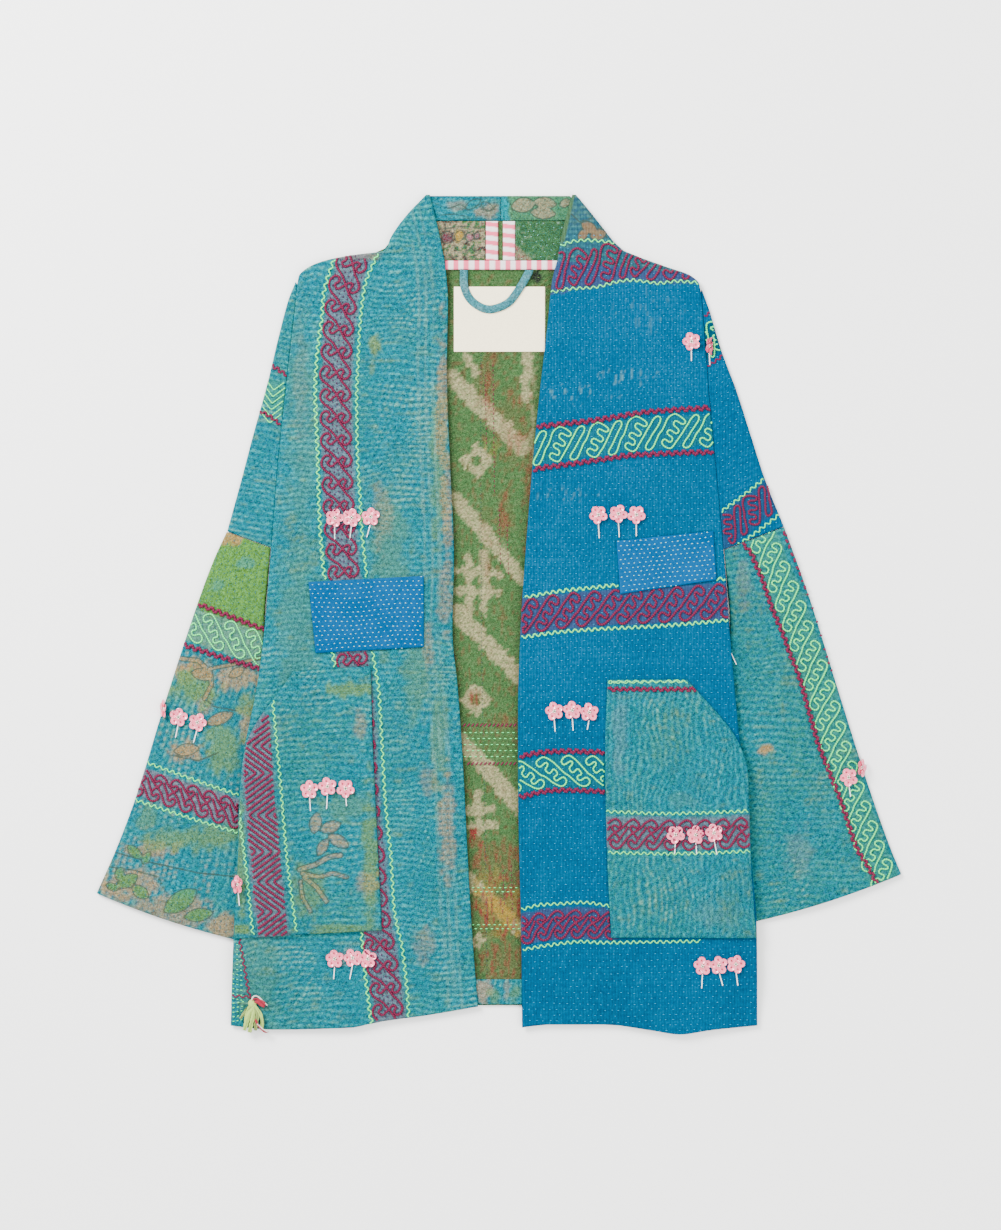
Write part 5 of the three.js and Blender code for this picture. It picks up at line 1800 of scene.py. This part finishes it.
# Right front: a band of scrolls from shoulder to hem
POCKETS = ("pocket_right", "patch_right")
SPECK_PITCH = 5.4
borders(
    "front_right", POCKETS,
    (green, 7.8, 2.1, 1.7, (-164, 356), (-174, 324), (-177, 294), (-181, 264), (-183, 234), (-183, 204),
     (-181, 164), (-179, 94), (-174, 34), (-166, -38), (-160, -80), (-146, -260), (-138, -315),
     (-135, -339), (-132, -372), (-127, -408)),
    (green, 7.6, 1.8, 1.5, (-121, 360), (-132, 334), (-136, 314), (-139, 284), (-141, 244), (-142, 214),
     (-141, 154), (-139, 124), (-137, 84), (-132, 37), (-126, -36), (-120, -76), (-116, -142),
     (-113, -192), (-108, -239), (-105, -289), (-101, -314), (-97, -330), (-92, -372), (-90, -404)),
)
repeat_motif(red, "front_right", VERTICAL_BAND, SCROLL[:2], 22, 2.5, start=9, covers=POCKETS)
places, normal = along_line(VERTICAL_BAND, 0.5)
for cell in range(int(0.5 * len(places) / SPECK_PITCH)):
    for column in range(-3, 4):
        index = int((cell + 0.5 * (column % 2)) * SPECK_PITCH / 0.5) + int(RNG.integers(-1, 2))
        if 0 <= index < len(places):
            at = places[index] + normal[index] * (column * 4.3 + RNG.uniform(-0.5, 0.5))
            maroon.stitch("front_right", at - (0, 1.1), at + (0, 1.1), 1.7, POCKETS)

# Right pocket: rows of diagonal lines that turn at each step down, between pale borders
borders(
    "pocket_right", (),
    (green, 7.2, 1.7, 1.35, (-226, -78), (-221, -131.5), (-217, -174.5), (-213, -224.5), (-210, -254.5),
     (-202, -316)),
    (green, 7.2, 1.7, 1.35, (-259, -180.5), (-258, -205.5), (-254, -235.5), (-249, -280.5), (-245, -319)),
)
TURNS_AT = (-72, -131, -158, -200, -236, -266, -296, -330)
BAND_LEFT = table(
    "y x", (-321, -241), (-276, -246), (-246, -249), (-176, -255), (-131, -255), (-96, -231), (-90, -229),
)
BAND_RIGHT = table(
    "y x", (-321, -208.5), (-286, -212), (-246, -216), (-216, -218), (-186, -221), (-146, -224),
    (-116, -227), (-90, -229),
)


def herringbone():
    sway = [0.0]
    for k, (high, low) in enumerate(zip(TURNS_AT, TURNS_AT[1:])):
        sway.append(sway[-1] + (1 if k % 2 else -1) * (high - low) * 1.35)
    heights = np.linspace(-92, -320, 160)
    offset = np.interp(-heights, -np.array(TURNS_AT), sway)
    for start in np.arange(-330, -120, 8.2):
        x = start + offset
        inside = (x > np.interp(heights, BAND_LEFT["y"], BAND_LEFT["x"]) + 0.8) & (
            x < np.interp(heights, BAND_RIGHT["y"], BAND_RIGHT["x"]) - 0.8
        )
        runs = np.split(np.arange(len(x)), np.flatnonzero(np.diff(inside.astype(int))) + 1)
        for run in runs:
            if inside[run[0]] and len(run) > 2:
                red.line("pocket_right", np.stack([x[run], heights[run]], -1), 2.6, step=2.4)


herringbone()

# Right front's lower corner, below the pocket
zigzag(red, "front_right", ((-259, -322), (-254, -350), (-249, -381)), 7, 1.8, 1.5, POCKETS)
zigzag(red, "front_right", ((-268, -380.5), (-247, -381.5)), 7, 1.6, 1.5)
for step in range(12):
    line = ((-266, -328 - step * 5), (-256, -330 - step * 5))
    green.line("front_right", line, 0.9, POCKETS, gap=1, step=2.2)
for step in range(5):
    line = ((-266, -388 - step * 4.6), (-252 - step, -386 - step * 4.6))
    green.line("front_right", line, 1.0, gap=1, step=2.2)

# Right upper sleeve: chevrons between two borders
borders(
    "sleeve_upper_right", (),
    (red, 6.4, 2.3, 2.4, (-228, 249.5), (-211, 238.5)),
    (red, 6.4, 2.3, 2.4, (-241, 204.5), (-229, 198), (-216, 187.5)),
)
for step in range(6):
    drop = 6.6 * step
    chevron = ((-235 - step, 238 - drop), (-225 - 0.8 * step, 224 - drop), (-212.5 - step, 233 - drop))
    green.line("sleeve_upper_right", chevron, 1.3)

# Right lower sleeve: combs above, scrolls below
borders(
    "sleeve_lower_right", ("front_right",),
    (red, 7.6, 2.8, 3.2, (-303, 11.5), (-268, -2), (-234, -15)),
    (red, 7.6, 2.8, 3.2, (-316, -29.5), (-276, -43), (-234, -55.5)),
)
repeat_motif(
    green, "sleeve_lower_right", SLEEVE_COMB_RIGHT, widened([COMB], 1.08, 0.95, True, 0.4), 22.6, 1.7,
    start=4, covers=("front_right",),
)
borders(
    "sleeve_lower_right", ("front_right",),
    (green, 6.8, 1.9, 1.4, (-353, -147.5), (-304, -165), (-254, -182.5)),
    (green, 6.8, 1.9, 1.4, (-365, -184.5), (-312, -202), (-258, -218.5)),
)
repeat_motif(
    red, "sleeve_lower_right", SLEEVE_SCROLL_RIGHT, widened(SCROLL, 0.78, 0.92, True), 17.2, 2.4, start=3,
    covers=("front_right",),
)

# Left front: five bands from shoulder to hem
COVER = ("pocket_left", "patch_left")
borders(
    "front_left", (),
    (green, 7, 1.9, 1.4, (60, 367), (71, 371.5), (90, 373.5), (117, 370.5)),
    (green, 6.8, 1.9, 1.4, (52, 321.5), (71, 325), (96, 326.5), (116, 331.5), (133.5, 333.5),
     (158.5, 330.5), (177, 332.5), (200, 331)),
)
repeat_motif(red, "front_left", KEY_TOP, widened([COMB_TEETH], 0.88, 1.0), 32.5, 2.4, start=28, stretch=1.08)
borders(
    "front_left", (),
    (red, 7.7, 2.8, 3.4, (35, 187.5), (62, 190), (101, 194.5), (151, 202.5), (214, 206.5)),
    (red, 7.7, 2.8, 3.4, (30, 144.5), (62, 149), (101, 154.5), (141, 159.5), (217, 162.5)),
)
repeat_motif(green, "front_left", KEY_GREEN, [COMB_TEETH], 38, 1.75, start=31)
borders(
    "front_left", COVER,
    (green, 6.7, 2.1, 1.7, (26, 17), (61, 23.5), (101, 27.5), (121, 29.5), (230, 36)),
    (green, 6.7, 2.1, 1.7, (21, -23), (61, -17.5), (101, -14.5), (161, -11.5), (230, -5.5)),
)
repeat_motif(red, "front_left", KEY_LOW_RED, widened([COMB], lean=-0.35), 20.7, 2.6, start=6, covers=COVER)
borders(
    "front_left", COVER,
    (red, 7.2, 2.6, 3.3, (18, -142.5), (40, -138), (63, -136.5), (108, -137.5)),
    (red, 7.2, 2.6, 3.3, (19, -182.5), (54, -175.5), (108, -176.5)),
)
repeat_motif(
    green, "front_left", COMB_GREEN_LOW, widened([COMB], 1.14, 0.9, True, 0.35), 23.7, 1.8, start=12,
    covers=COVER,
)
borders(
    "front_left", COVER,
    (green, 6.6, 1.9, 1.4, (21, -295), (40, -290), (63, -288.5), (88, -287.5), (112, -291.5)),
    (green, 6.6, 1.9, 1.4, (21, -335), (50, -330), (81, -326.5), (108, -327.5), (201, -326)),
)
repeat_motif(red, "front_left", SCROLL_LOW, widened(SCROLL, 0.79, 0.92), 17.4, 2.4, start=4, covers=COVER)

# Left pocket
for lean in (-1, 1):
    line = ((109, -67.5 + 0.3 * lean), (188, -66.5 + 0.3 * lean))
    zigzag(green, "pocket_left", line, 8.0 + 0.3 * lean, 1.7 * lean, 1.2)
borders(
    "pocket_left", (),
    (red, 6.8, 2.4, 3.1, (109, -74.5), (196, -74.5)),
    (green, 6.8, 1.9, 1.35, (107, -196.5), (171, -198.5), (251, -195.5)),
    (green, 6.8, 1.9, 1.35, (109, -237.5), (181, -238.5), (253, -235.5)),
)
repeat_motif(red, "pocket_left", POCKET_SCROLL, widened(SCROLL, 0.82, 0.98), 18, 2.4, start=8)

# Left sleeve
borders(
    "sleeve_upper_left", (),
    (green, 6.8, 1.9, 1.4, (218, 100), (240, 116), (268, 138)),
    (green, 6.8, 1.9, 1.4, (238, 69), (258, 83), (282, 101)),
)
repeat_motif(red, "sleeve_upper_left", SLEEVE_KEY_LEFT, widened([COMB_TEETH], 0.85, 0.86), 31, 2.3, start=6)
borders(
    "sleeve_upper_left", (),
    (red, 6, 1.8, 1.6, (206, 247), (215, 252), (226, 261)),
    (red, 6, 1.8, 1.6, (203, 297), (214, 303)),
)
repeat_motif(green, "sleeve_upper_left", SLEEVE_COMB_TOP, widened([COMB], 1, 0.9), 15, 1.7, start=2)
borders(
    "sleeve_lower_left", (),
    (red, 7.4, 2.5, 3.1, (243, 70.5), (251, 62.5), (257, 48.5), (263, 34.5), (274, 2.5), (281, -13.5),
     (291, -40.5), (301, -66.5), (316, -120.5), (323, -140.5), (341, -185.5), (356, -230.5), (366, -247.5),
     (377, -268)),
    (red, 7.2, 2.2, 2.6, (284, 86), (302, 39.5), (317, -0.5), (330, -45.5), (338, -68)),
)
repeat_motif(
    green, "sleeve_lower_left", SLEEVE_COMB_LEFT, widened([COMB], 1.0, 0.86, True, 0.3), 21, 1.75, start=6,
)


# Running stitches of the quilting
def quilt_rows(thread, cloth, box, length, width, covers=(), keep=1.0):
    chosen = QUILTS[cloth].stitches(*box, length)
    picks = np.random.default_rng(QUILTS[cloth].seed).uniform(0, 1, len(chosen))
    for (a, b), pick in zip(chosen, picks):
        if pick <= keep:
            thread.stitch(cloth, a, b, width, covers, lift=0.2, overlap=1.0)


quilt_rows(cyan, "front_left", (15, 262, -420, 376), 2.4, 0.62, COVER, keep=0.9)
quilt_rows(cyan, "sleeve_upper_left", (203, 290, 64, 320), 2.4, 0.62, keep=0.9)
quilt_rows(white, "patch_right", (-195, -72, -42, 42), 2.1, 0.85)
quilt_rows(white, "patch_left", (112, 222, 16, 90), 2.1, 0.85)
quilt_rows(teal, "front_right", (-270, -20, -418, 420), 2.8, 0.8, POCKETS)
quilt_rows(teal, "sleeve_upper_right", (-275, -205, 64, 330), 2.8, 0.8)
quilt_rows(teal, "sleeve_lower_right", (-404, -230, -334, 84), 2.8, 0.8, ("front_right",))
quilt_rows(teal, "sleeve_lower_left", (225, 404, -316, 90), 2.8, 0.8, ("front_left",))
quilt_rows(teal, "pocket_right", (-266, -116, -325, -52), 2.8, 0.8)
quilt_rows(teal, "pocket_left", (105, 258, -324, -64), 2.8, 0.8)
FRONTS = ("front_right", "front_left", "label", "hanger_loop", "neck_binding", "back_hem_tape")
quilt_rows(leaf, "back_panel", (-62, 56, -388, 340), 2.6, 0.8, FRONTS)
quilt_rows(white, "neck_facing_left", (17, 77, 355, 392), 1.5, 0.5, FRONTS, keep=0.6)


# Seams sewn through
def beside_edge(inwards):
    """A line down the right front, beside its front edge."""
    y = np.arange(340, -386, -40)
    return np.stack([flow(RIGHT_FRONT, "y", "centre", y) - inwards, y], -1)


for thread, cloth, line in (
    *((teal, "front_right", beside_edge(rows * EDGE_ROW_PITCH)) for rows in (1.5, 2.5, 3.5)),
    (teal, "pocket_right", ((-125, -60), (-122, -120), (-119, -235), (-115.5, -311))),
    (teal, "pocket_right", ((-262, -312), (-200, -316), (-116, -314.5))),
    (teal, "pocket_left", ((109.5, -68), (108, -157), (110, -245), (114, -320))),
    (teal, "pocket_left", ((114, -320.5), (255, -320.5))),
    (dark, "collar_back_right", ((-82, 395.6), (1, 395.6))),
    (dark, "collar_back_left", ((3, 395.6), (80, 395.6))),
    (dark, "neck_facing_right", ((-60, 366), (-16, 367))),
    (dark, "neck_facing_right", ((-62, 361), (-18, 361.5))),
    (dark, "back_panel", ((-18, 260), (-18, 100), (-17, -60), (-14, -200), (-12, -360))),
):
    thread.line(cloth, smooth_path(line, 2), 0.55, FRONTS if cloth == "back_panel" else (), gap=1, step=2.1)

# Red and green rows across the inside of the back
for y in (-110.5, -149):
    for k in range(14):
        x = -36 + 4.2 * k
        red.stitch("back_panel", (x, y - 1.6), (x + 2.6, y + 1.6), 1.3, FRONTS)
for row, y in enumerate((-118, -124, -130, -136, -142, -273, -277, -310, -314)):
    for k in range(11):
        x = -34 + 5.4 * k + 2.7 * (row % 2)
        green.stitch("back_panel", (x - 1.2, y), (x + 1.2, y), 0.95, FRONTS)
for x, top, bottom in (
    (-6, 250, 120), (0, 110, 50), (8, 90, 40), (4, -255, -290), (12, -250, -295), (-14, 240, 170),
):
    red.line("back_panel", ((x, top), (x + 1.5, bottom)), 0.7, FRONTS, gap=1, step=2.4)

for thread in (red, green, maroon, white, cyan, teal, leaf, dark):
    thread.sew()

# Sequin flowers on bead stems
FLOWERS = (  # cloth, then x, y, the stem's foot or None, degrees that it leans to the right
    ("front_right", (-164, 96.5, -164, 75), (-147, 96.5, -149, 75), (-128, 97.5, -132, 77)),
    ("pocket_right", (-189, -174.5, -188, -196), (-171, -171.5, -172, -194), (-153, -173.5, -152, -191)),
    ("front_right", (-164, -343.5, -165, -364), (-146, -342.5, -149, -364), (-131, -343.5, None, None)),
    ("sleeve_lower_right", (-334.5, -94, None, None, -68), (-320, -102.5, -323, -123)),
    ("sleeve_lower_right", (-301, -107.5, -305, -128)),
    ("pocket_right", (-260, -269, -258.5, -290, -50)),
    ("front_left", (99, 99.5, 100, 76), (119, 100.5, 120, 77), (137, 99.5, 137, 78)),
    ("front_left", (192, 272.5, 192, 253)),
    ("sleeve_upper_left", (210, 268, 210.5, 249, 58)),
    ("front_left", (55, -96.5, 56, -117), (73, -95.5, 74, -116), (90, -97.5, 88, -115)),
    ("pocket_left", (176, -219.5, 175, -239), (196, -219.5, 197, -239), (214, -217.5, 217, -239)),
    ("front_left", (203, -350.5, 202, -373), (219, -349.5, 223, -370), (236, -348.5, 238, -370)),
    ("sleeve_lower_left", (349, -162.5, 351, -182), (361.5, -153, None, None, 58)),
)
LONE_STEM = ("sleeve_lower_left", 231, -37, 237, -50)  # its flower lies under the front
SEQUIN_RADIUS = 3.9
PETAL_REACH = 5.4
STEM_WIDTH = 1.3


def flowers():
    petals, hearts, gold, stems = ([], [], []), ([], [], []), ([], [], []), ([], [], [])

    def put(where, place, turn, size):
        for group, value in zip(where, (place, turn, size)):
            group.append(value)

    def stem(cloth, top_x, top_y, foot_x, foot_y):
        top, foot = np.array([top_x, top_y]), np.array([foot_x, foot_y])
        middle = (top + foot) / 2
        heights = [level(cloth, *p) for p in (top, middle, foot)]
        if None in heights:
            return
        reach = foot - top
        turn = (0, 0, atan2(reach[1], reach[0]))
        size = (np.hypot(*reach), STEM_WIDTH, STEM_WIDTH)
        put(stems, (*middle, max(heights) + STEM_WIDTH / 2 - 0.1), turn, size)

    every = [(cloth, *flower) for cloth, *group in FLOWERS for flower in group]
    for cloth, x, y, foot_x, foot_y, *leans in every:
        floor = level(cloth, x, y)
        if floor is None:
            continue
        lean = radians(leans[0]) if leans else 0.0
        sideways, downwards = cos(lean), sin(lean)
        first = RNG.uniform(0, 72)
        for petal in range(5):
            angle = radians(first + 72 * petal + RNG.uniform(-6, 6))
            out = PETAL_REACH * cos(angle)
            px, py = x + out * sideways, y + PETAL_REACH * sin(angle)
            under = level(cloth, px, py)
            base = max(floor, under if under is not None else floor - 2) + 0.45 + 0.22 * petal
            base = base - out * downwards * 0.5 + 1.6 * abs(downwards)
            tilt = RNG.uniform(-0.12, 0.12, 2)
            turn = (tilt[0] - 0.1 * sin(angle), tilt[1] + 0.1 * cos(angle) + lean, 0.0 if leans else angle)
            put(petals, (px, py, base), turn, (SEQUIN_RADIUS,) * 3)
            seen = max(sideways, 0.55)
            put(hearts, (px, py, base + 0.75), (0, 0, angle), (0.95 * seen, 1.15 * seen, 1.15 * seen))
        for turn in range(4):
            angle = radians(90 * turn + first)
            centre = (x + 1.3 * cos(angle) * sideways, y + 1.3 * sin(angle), floor + 2.5 + abs(downwards))
            put(gold, centre, (0, 0.3, angle), (1.5, 1.7, 1.7))
        if foot_x is not None:
            stem(cloth, x + 0.1 * (foot_x - x), y - PETAL_REACH - 2.2, foot_x, foot_y)
    stem(*LONE_STEM)
    sewn("sequins", SEQUIN, *petals, PINK_SEQUIN, "sequins")
    sewn("seed_beads", BEAD, *hearts, RED_BEAD, "bugle_beads")
    sewn("centre_beads", BEAD, *gold, GOLD_BEAD, "bugle_beads")
    sewn("bugle_stems", TUBE, *stems, SILVER_BUGLE, "bugle_beads")


flowers()
for template in (STITCH, SMALL_STITCH, BEAD, TUBE, SEQUIN):
    bpy.data.objects.remove(template)

# Rag tassel
KNOT = (-246, -388)
KNOT_SIZE = (4.2, 4.6, 2.3)  # from its middle, across, along and up
STRIP_HALF = 0.3  # half a strip's thickness
RAGS = (  # material, places of the strip's middle (x, y, z above the hem's cloth), width at knot and end
    (RAG_RED, ((-246, -389, 2.6), (-243, -385, 4.2), (-239, -386, 3.8), (-233, -390, 2.4)), 5, 6),
    (RAG_WHITE, ((-247, -387, 3.2), (-245, -381, 3.6), (-240, -381, 3.2), (-231, -390, 2.0)), 1.4, 1.2),
    (RAG_BLACK, ((-245, -386, 3.6), (-240, -383.5, 3.4), (-231, -391.5, 2.2)), 1.2, 1.0),
    (RAG_OLIVE, ((-247, -390, 2.4), (-253, -396, 2.2), (-258, -403, 1.6)), 4, 2.5),
    (RAG_LIME, ((-246, -390, 3.0), (-250, -398, 2.8), (-252, -407, 1.8), (-254, -415, 0.8)), 6, 4),
    (RAG_LIME, ((-245, -390, 2.6), (-245, -399, 3.0), (-247, -408, 2.2), (-249, -417, 0.4)), 5, 3.5),
    (RAG_OLIVE, ((-244, -390, 2.2), (-241, -398, 2.4), (-242, -407, 2.0), (-243, -415, 0.6)), 4.5, 3),
    (RAG_LIME, ((-244, -389, 3.0), (-238, -398, 2.6), (-236, -406, 2.0), (-237, -413, 0.8)), 4, 3),
    (RAG_RED, ((-243, -403, 2.8), (-240, -410, 2.2), (-234, -416, 1.4), (-230, -416.5, 1.0)), 2.2, 1.6),
    (RAG_WHITE, ((-241, -408, 2.4), (-236, -413, 1.8), (-230, -417, 1.0)), 1.2, 1.0),
)


def tassel():
    """Torn strips of cotton knotted together, curling as they come off the knot."""
    wall = Wall()
    slots = []
    ground = level("front_right", *KNOT) or 6.0
    materials = []
    for k, (material, places, wide, narrow) in enumerate(RAGS):
        line = smooth_path(places, 1.2)
        along = directions(line)
        share = np.linspace(0, 1, len(line))[:, None]
        side = np.linspace(-0.5, 0.5, 6)[None, :]
        fray = 1 + 0.25 * cloud(share * 20, side * 0 + k * 3, 1.6, 71)
        spread = mix(wide, narrow, share) * side * fray
        x, y = line[:, :1] - along[:, 1:] * spread, line[:, 1:2] + along[:, :1] * spread
        floor = np.maximum(ground - 1.5 * (np.maximum(0, -404 - y) / 10), 4.6)
        ripple = 0.8 * np.cos(side * 9 + share * 5 + k) * np.minimum(1, wide / 4)
        z = np.maximum(floor + line[:, 2:] + ripple + 0.16 * k, floor + 0.4)
        top, under = (np.stack([x, y, z + half], -1) for half in (STRIP_HALF, -STRIP_HALF))
        piece = sheet(top, under)
        offset = wall.count
        wall.points.append(np.concatenate(piece.points))
        wall.faces.extend([[v + offset for v in face] for face in piece.faces])
        wall.count += piece.count
        if material not in materials:
            materials.append(material)
        slots.extend([materials.index(material)] * len(piece.faces))
    rings, sides = 8, 14
    centre = np.array([*KNOT, ground + 2.6])
    lat = np.linspace(-pi / 2, pi / 2, rings)[1:-1, None]
    lon = np.linspace(0, 2 * pi, sides, endpoint=False)[None, :]
    lump = 1 + 0.1 * cloud(lon * 4, lat * 4, 1, 5)
    wide, long, high = KNOT_SIZE
    across, along = wide * np.cos(lat) * np.cos(lon) * lump, long * np.cos(lat) * np.sin(lon) * lump
    ball = np.stack([across, along, high * np.sin(lat) + 0 * lon], -1)
    index = wall.net(ball + centre)
    poles = wall.net(np.array([[centre - (0, 0, high), centre + (0, 0, high)]]))
    closed = np.concatenate([index, index[:, :1]], axis=1)
    before = len(wall.faces)
    wall.cover(closed)
    for k in range(sides):
        wall.faces.append([int(poles[0, 0]), int(closed[0, k + 1]), int(closed[0, k])])
        wall.faces.append([int(poles[0, 1]), int(closed[-1, k]), int(closed[-1, k + 1])])
    slots.extend([materials.index(RAG_LIME)] * (len(wall.faces) - before))
    mesh = wall.mesh("rag_tassel")
    for material in materials:
        mesh.materials.append(material)
    mesh.polygons.foreach_set("material_index", slots)
    piece = add_object("rag_tassel", mesh, None)
    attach(piece, "root")
    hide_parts("tassel")


tassel()

# Floor, light and camera
FRAME_HEIGHT = 1230  # the photograph takes in a millimetre to a pixel
CENTRE = (1.5, -0.5)
CAMERA_HEIGHT = 3600.0
WORLD_LIGHT = 1.95
FLOOR_REACH = 6.0  # metres, as the lights' places and sizes are
LIGHTS = (  # name, place, size, power in watts
    ("window", (-1.7, 1.7, 1.9), 1.2, 255.0),
    ("fill", (1.8, -1.0, 2.6), 2.4, 90.0),
)


def floor_and_light():
    material, tree = bare_material("white painted studio board")
    shader = node(tree, "ShaderNodeBsdfPrincipled", {"Base Color": (*linear(0xF7F7F6), 1), "Roughness": 0.95})
    finish_material(tree, shader)
    mesh = bpy.data.meshes.new("floor")
    signs = ((-1, -1), (1, -1), (1, 1), (-1, 1))
    corners = [(FLOOR_REACH * x, FLOOR_REACH * y, 0) for x, y in signs]
    mesh.from_pydata(corners, [], [(0, 1, 2, 3)])
    floor = add_object("floor", mesh, material)
    world = bpy.data.worlds.new("soft studio")
    bpy.context.scene.world = world
    world.use_nodes = True
    world.node_tree.nodes["Background"].inputs["Color"].default_value = (1, 1, 1, 1)
    world.node_tree.nodes["Background"].inputs["Strength"].default_value = WORLD_LIGHT
    for name, place, size, power in LIGHTS:
        light = bpy.data.lights.new(name, "AREA")
        light.size = size
        light.energy = power
        lamp = bpy.data.objects.new(name, light)
        lamp.location = place
        lamp.rotation_euler = (Vector(place) * -1).to_track_quat("-Z", "Y").to_euler()
        bpy.context.scene.collection.objects.link(lamp)


def camera():
    data = bpy.data.cameras.new("camera")
    data.sensor_fit = "VERTICAL"
    data.sensor_height = 36.0
    data.lens = 36.0 * CAMERA_HEIGHT / FRAME_HEIGHT
    data.clip_end = 50
    made = bpy.data.objects.new("camera", data)
    made.location = (CENTRE[0] * MM, CENTRE[1] * MM, CAMERA_HEIGHT * MM)
    bpy.context.scene.collection.objects.link(made)
    bpy.context.scene.camera = made


floor_and_light()
camera()
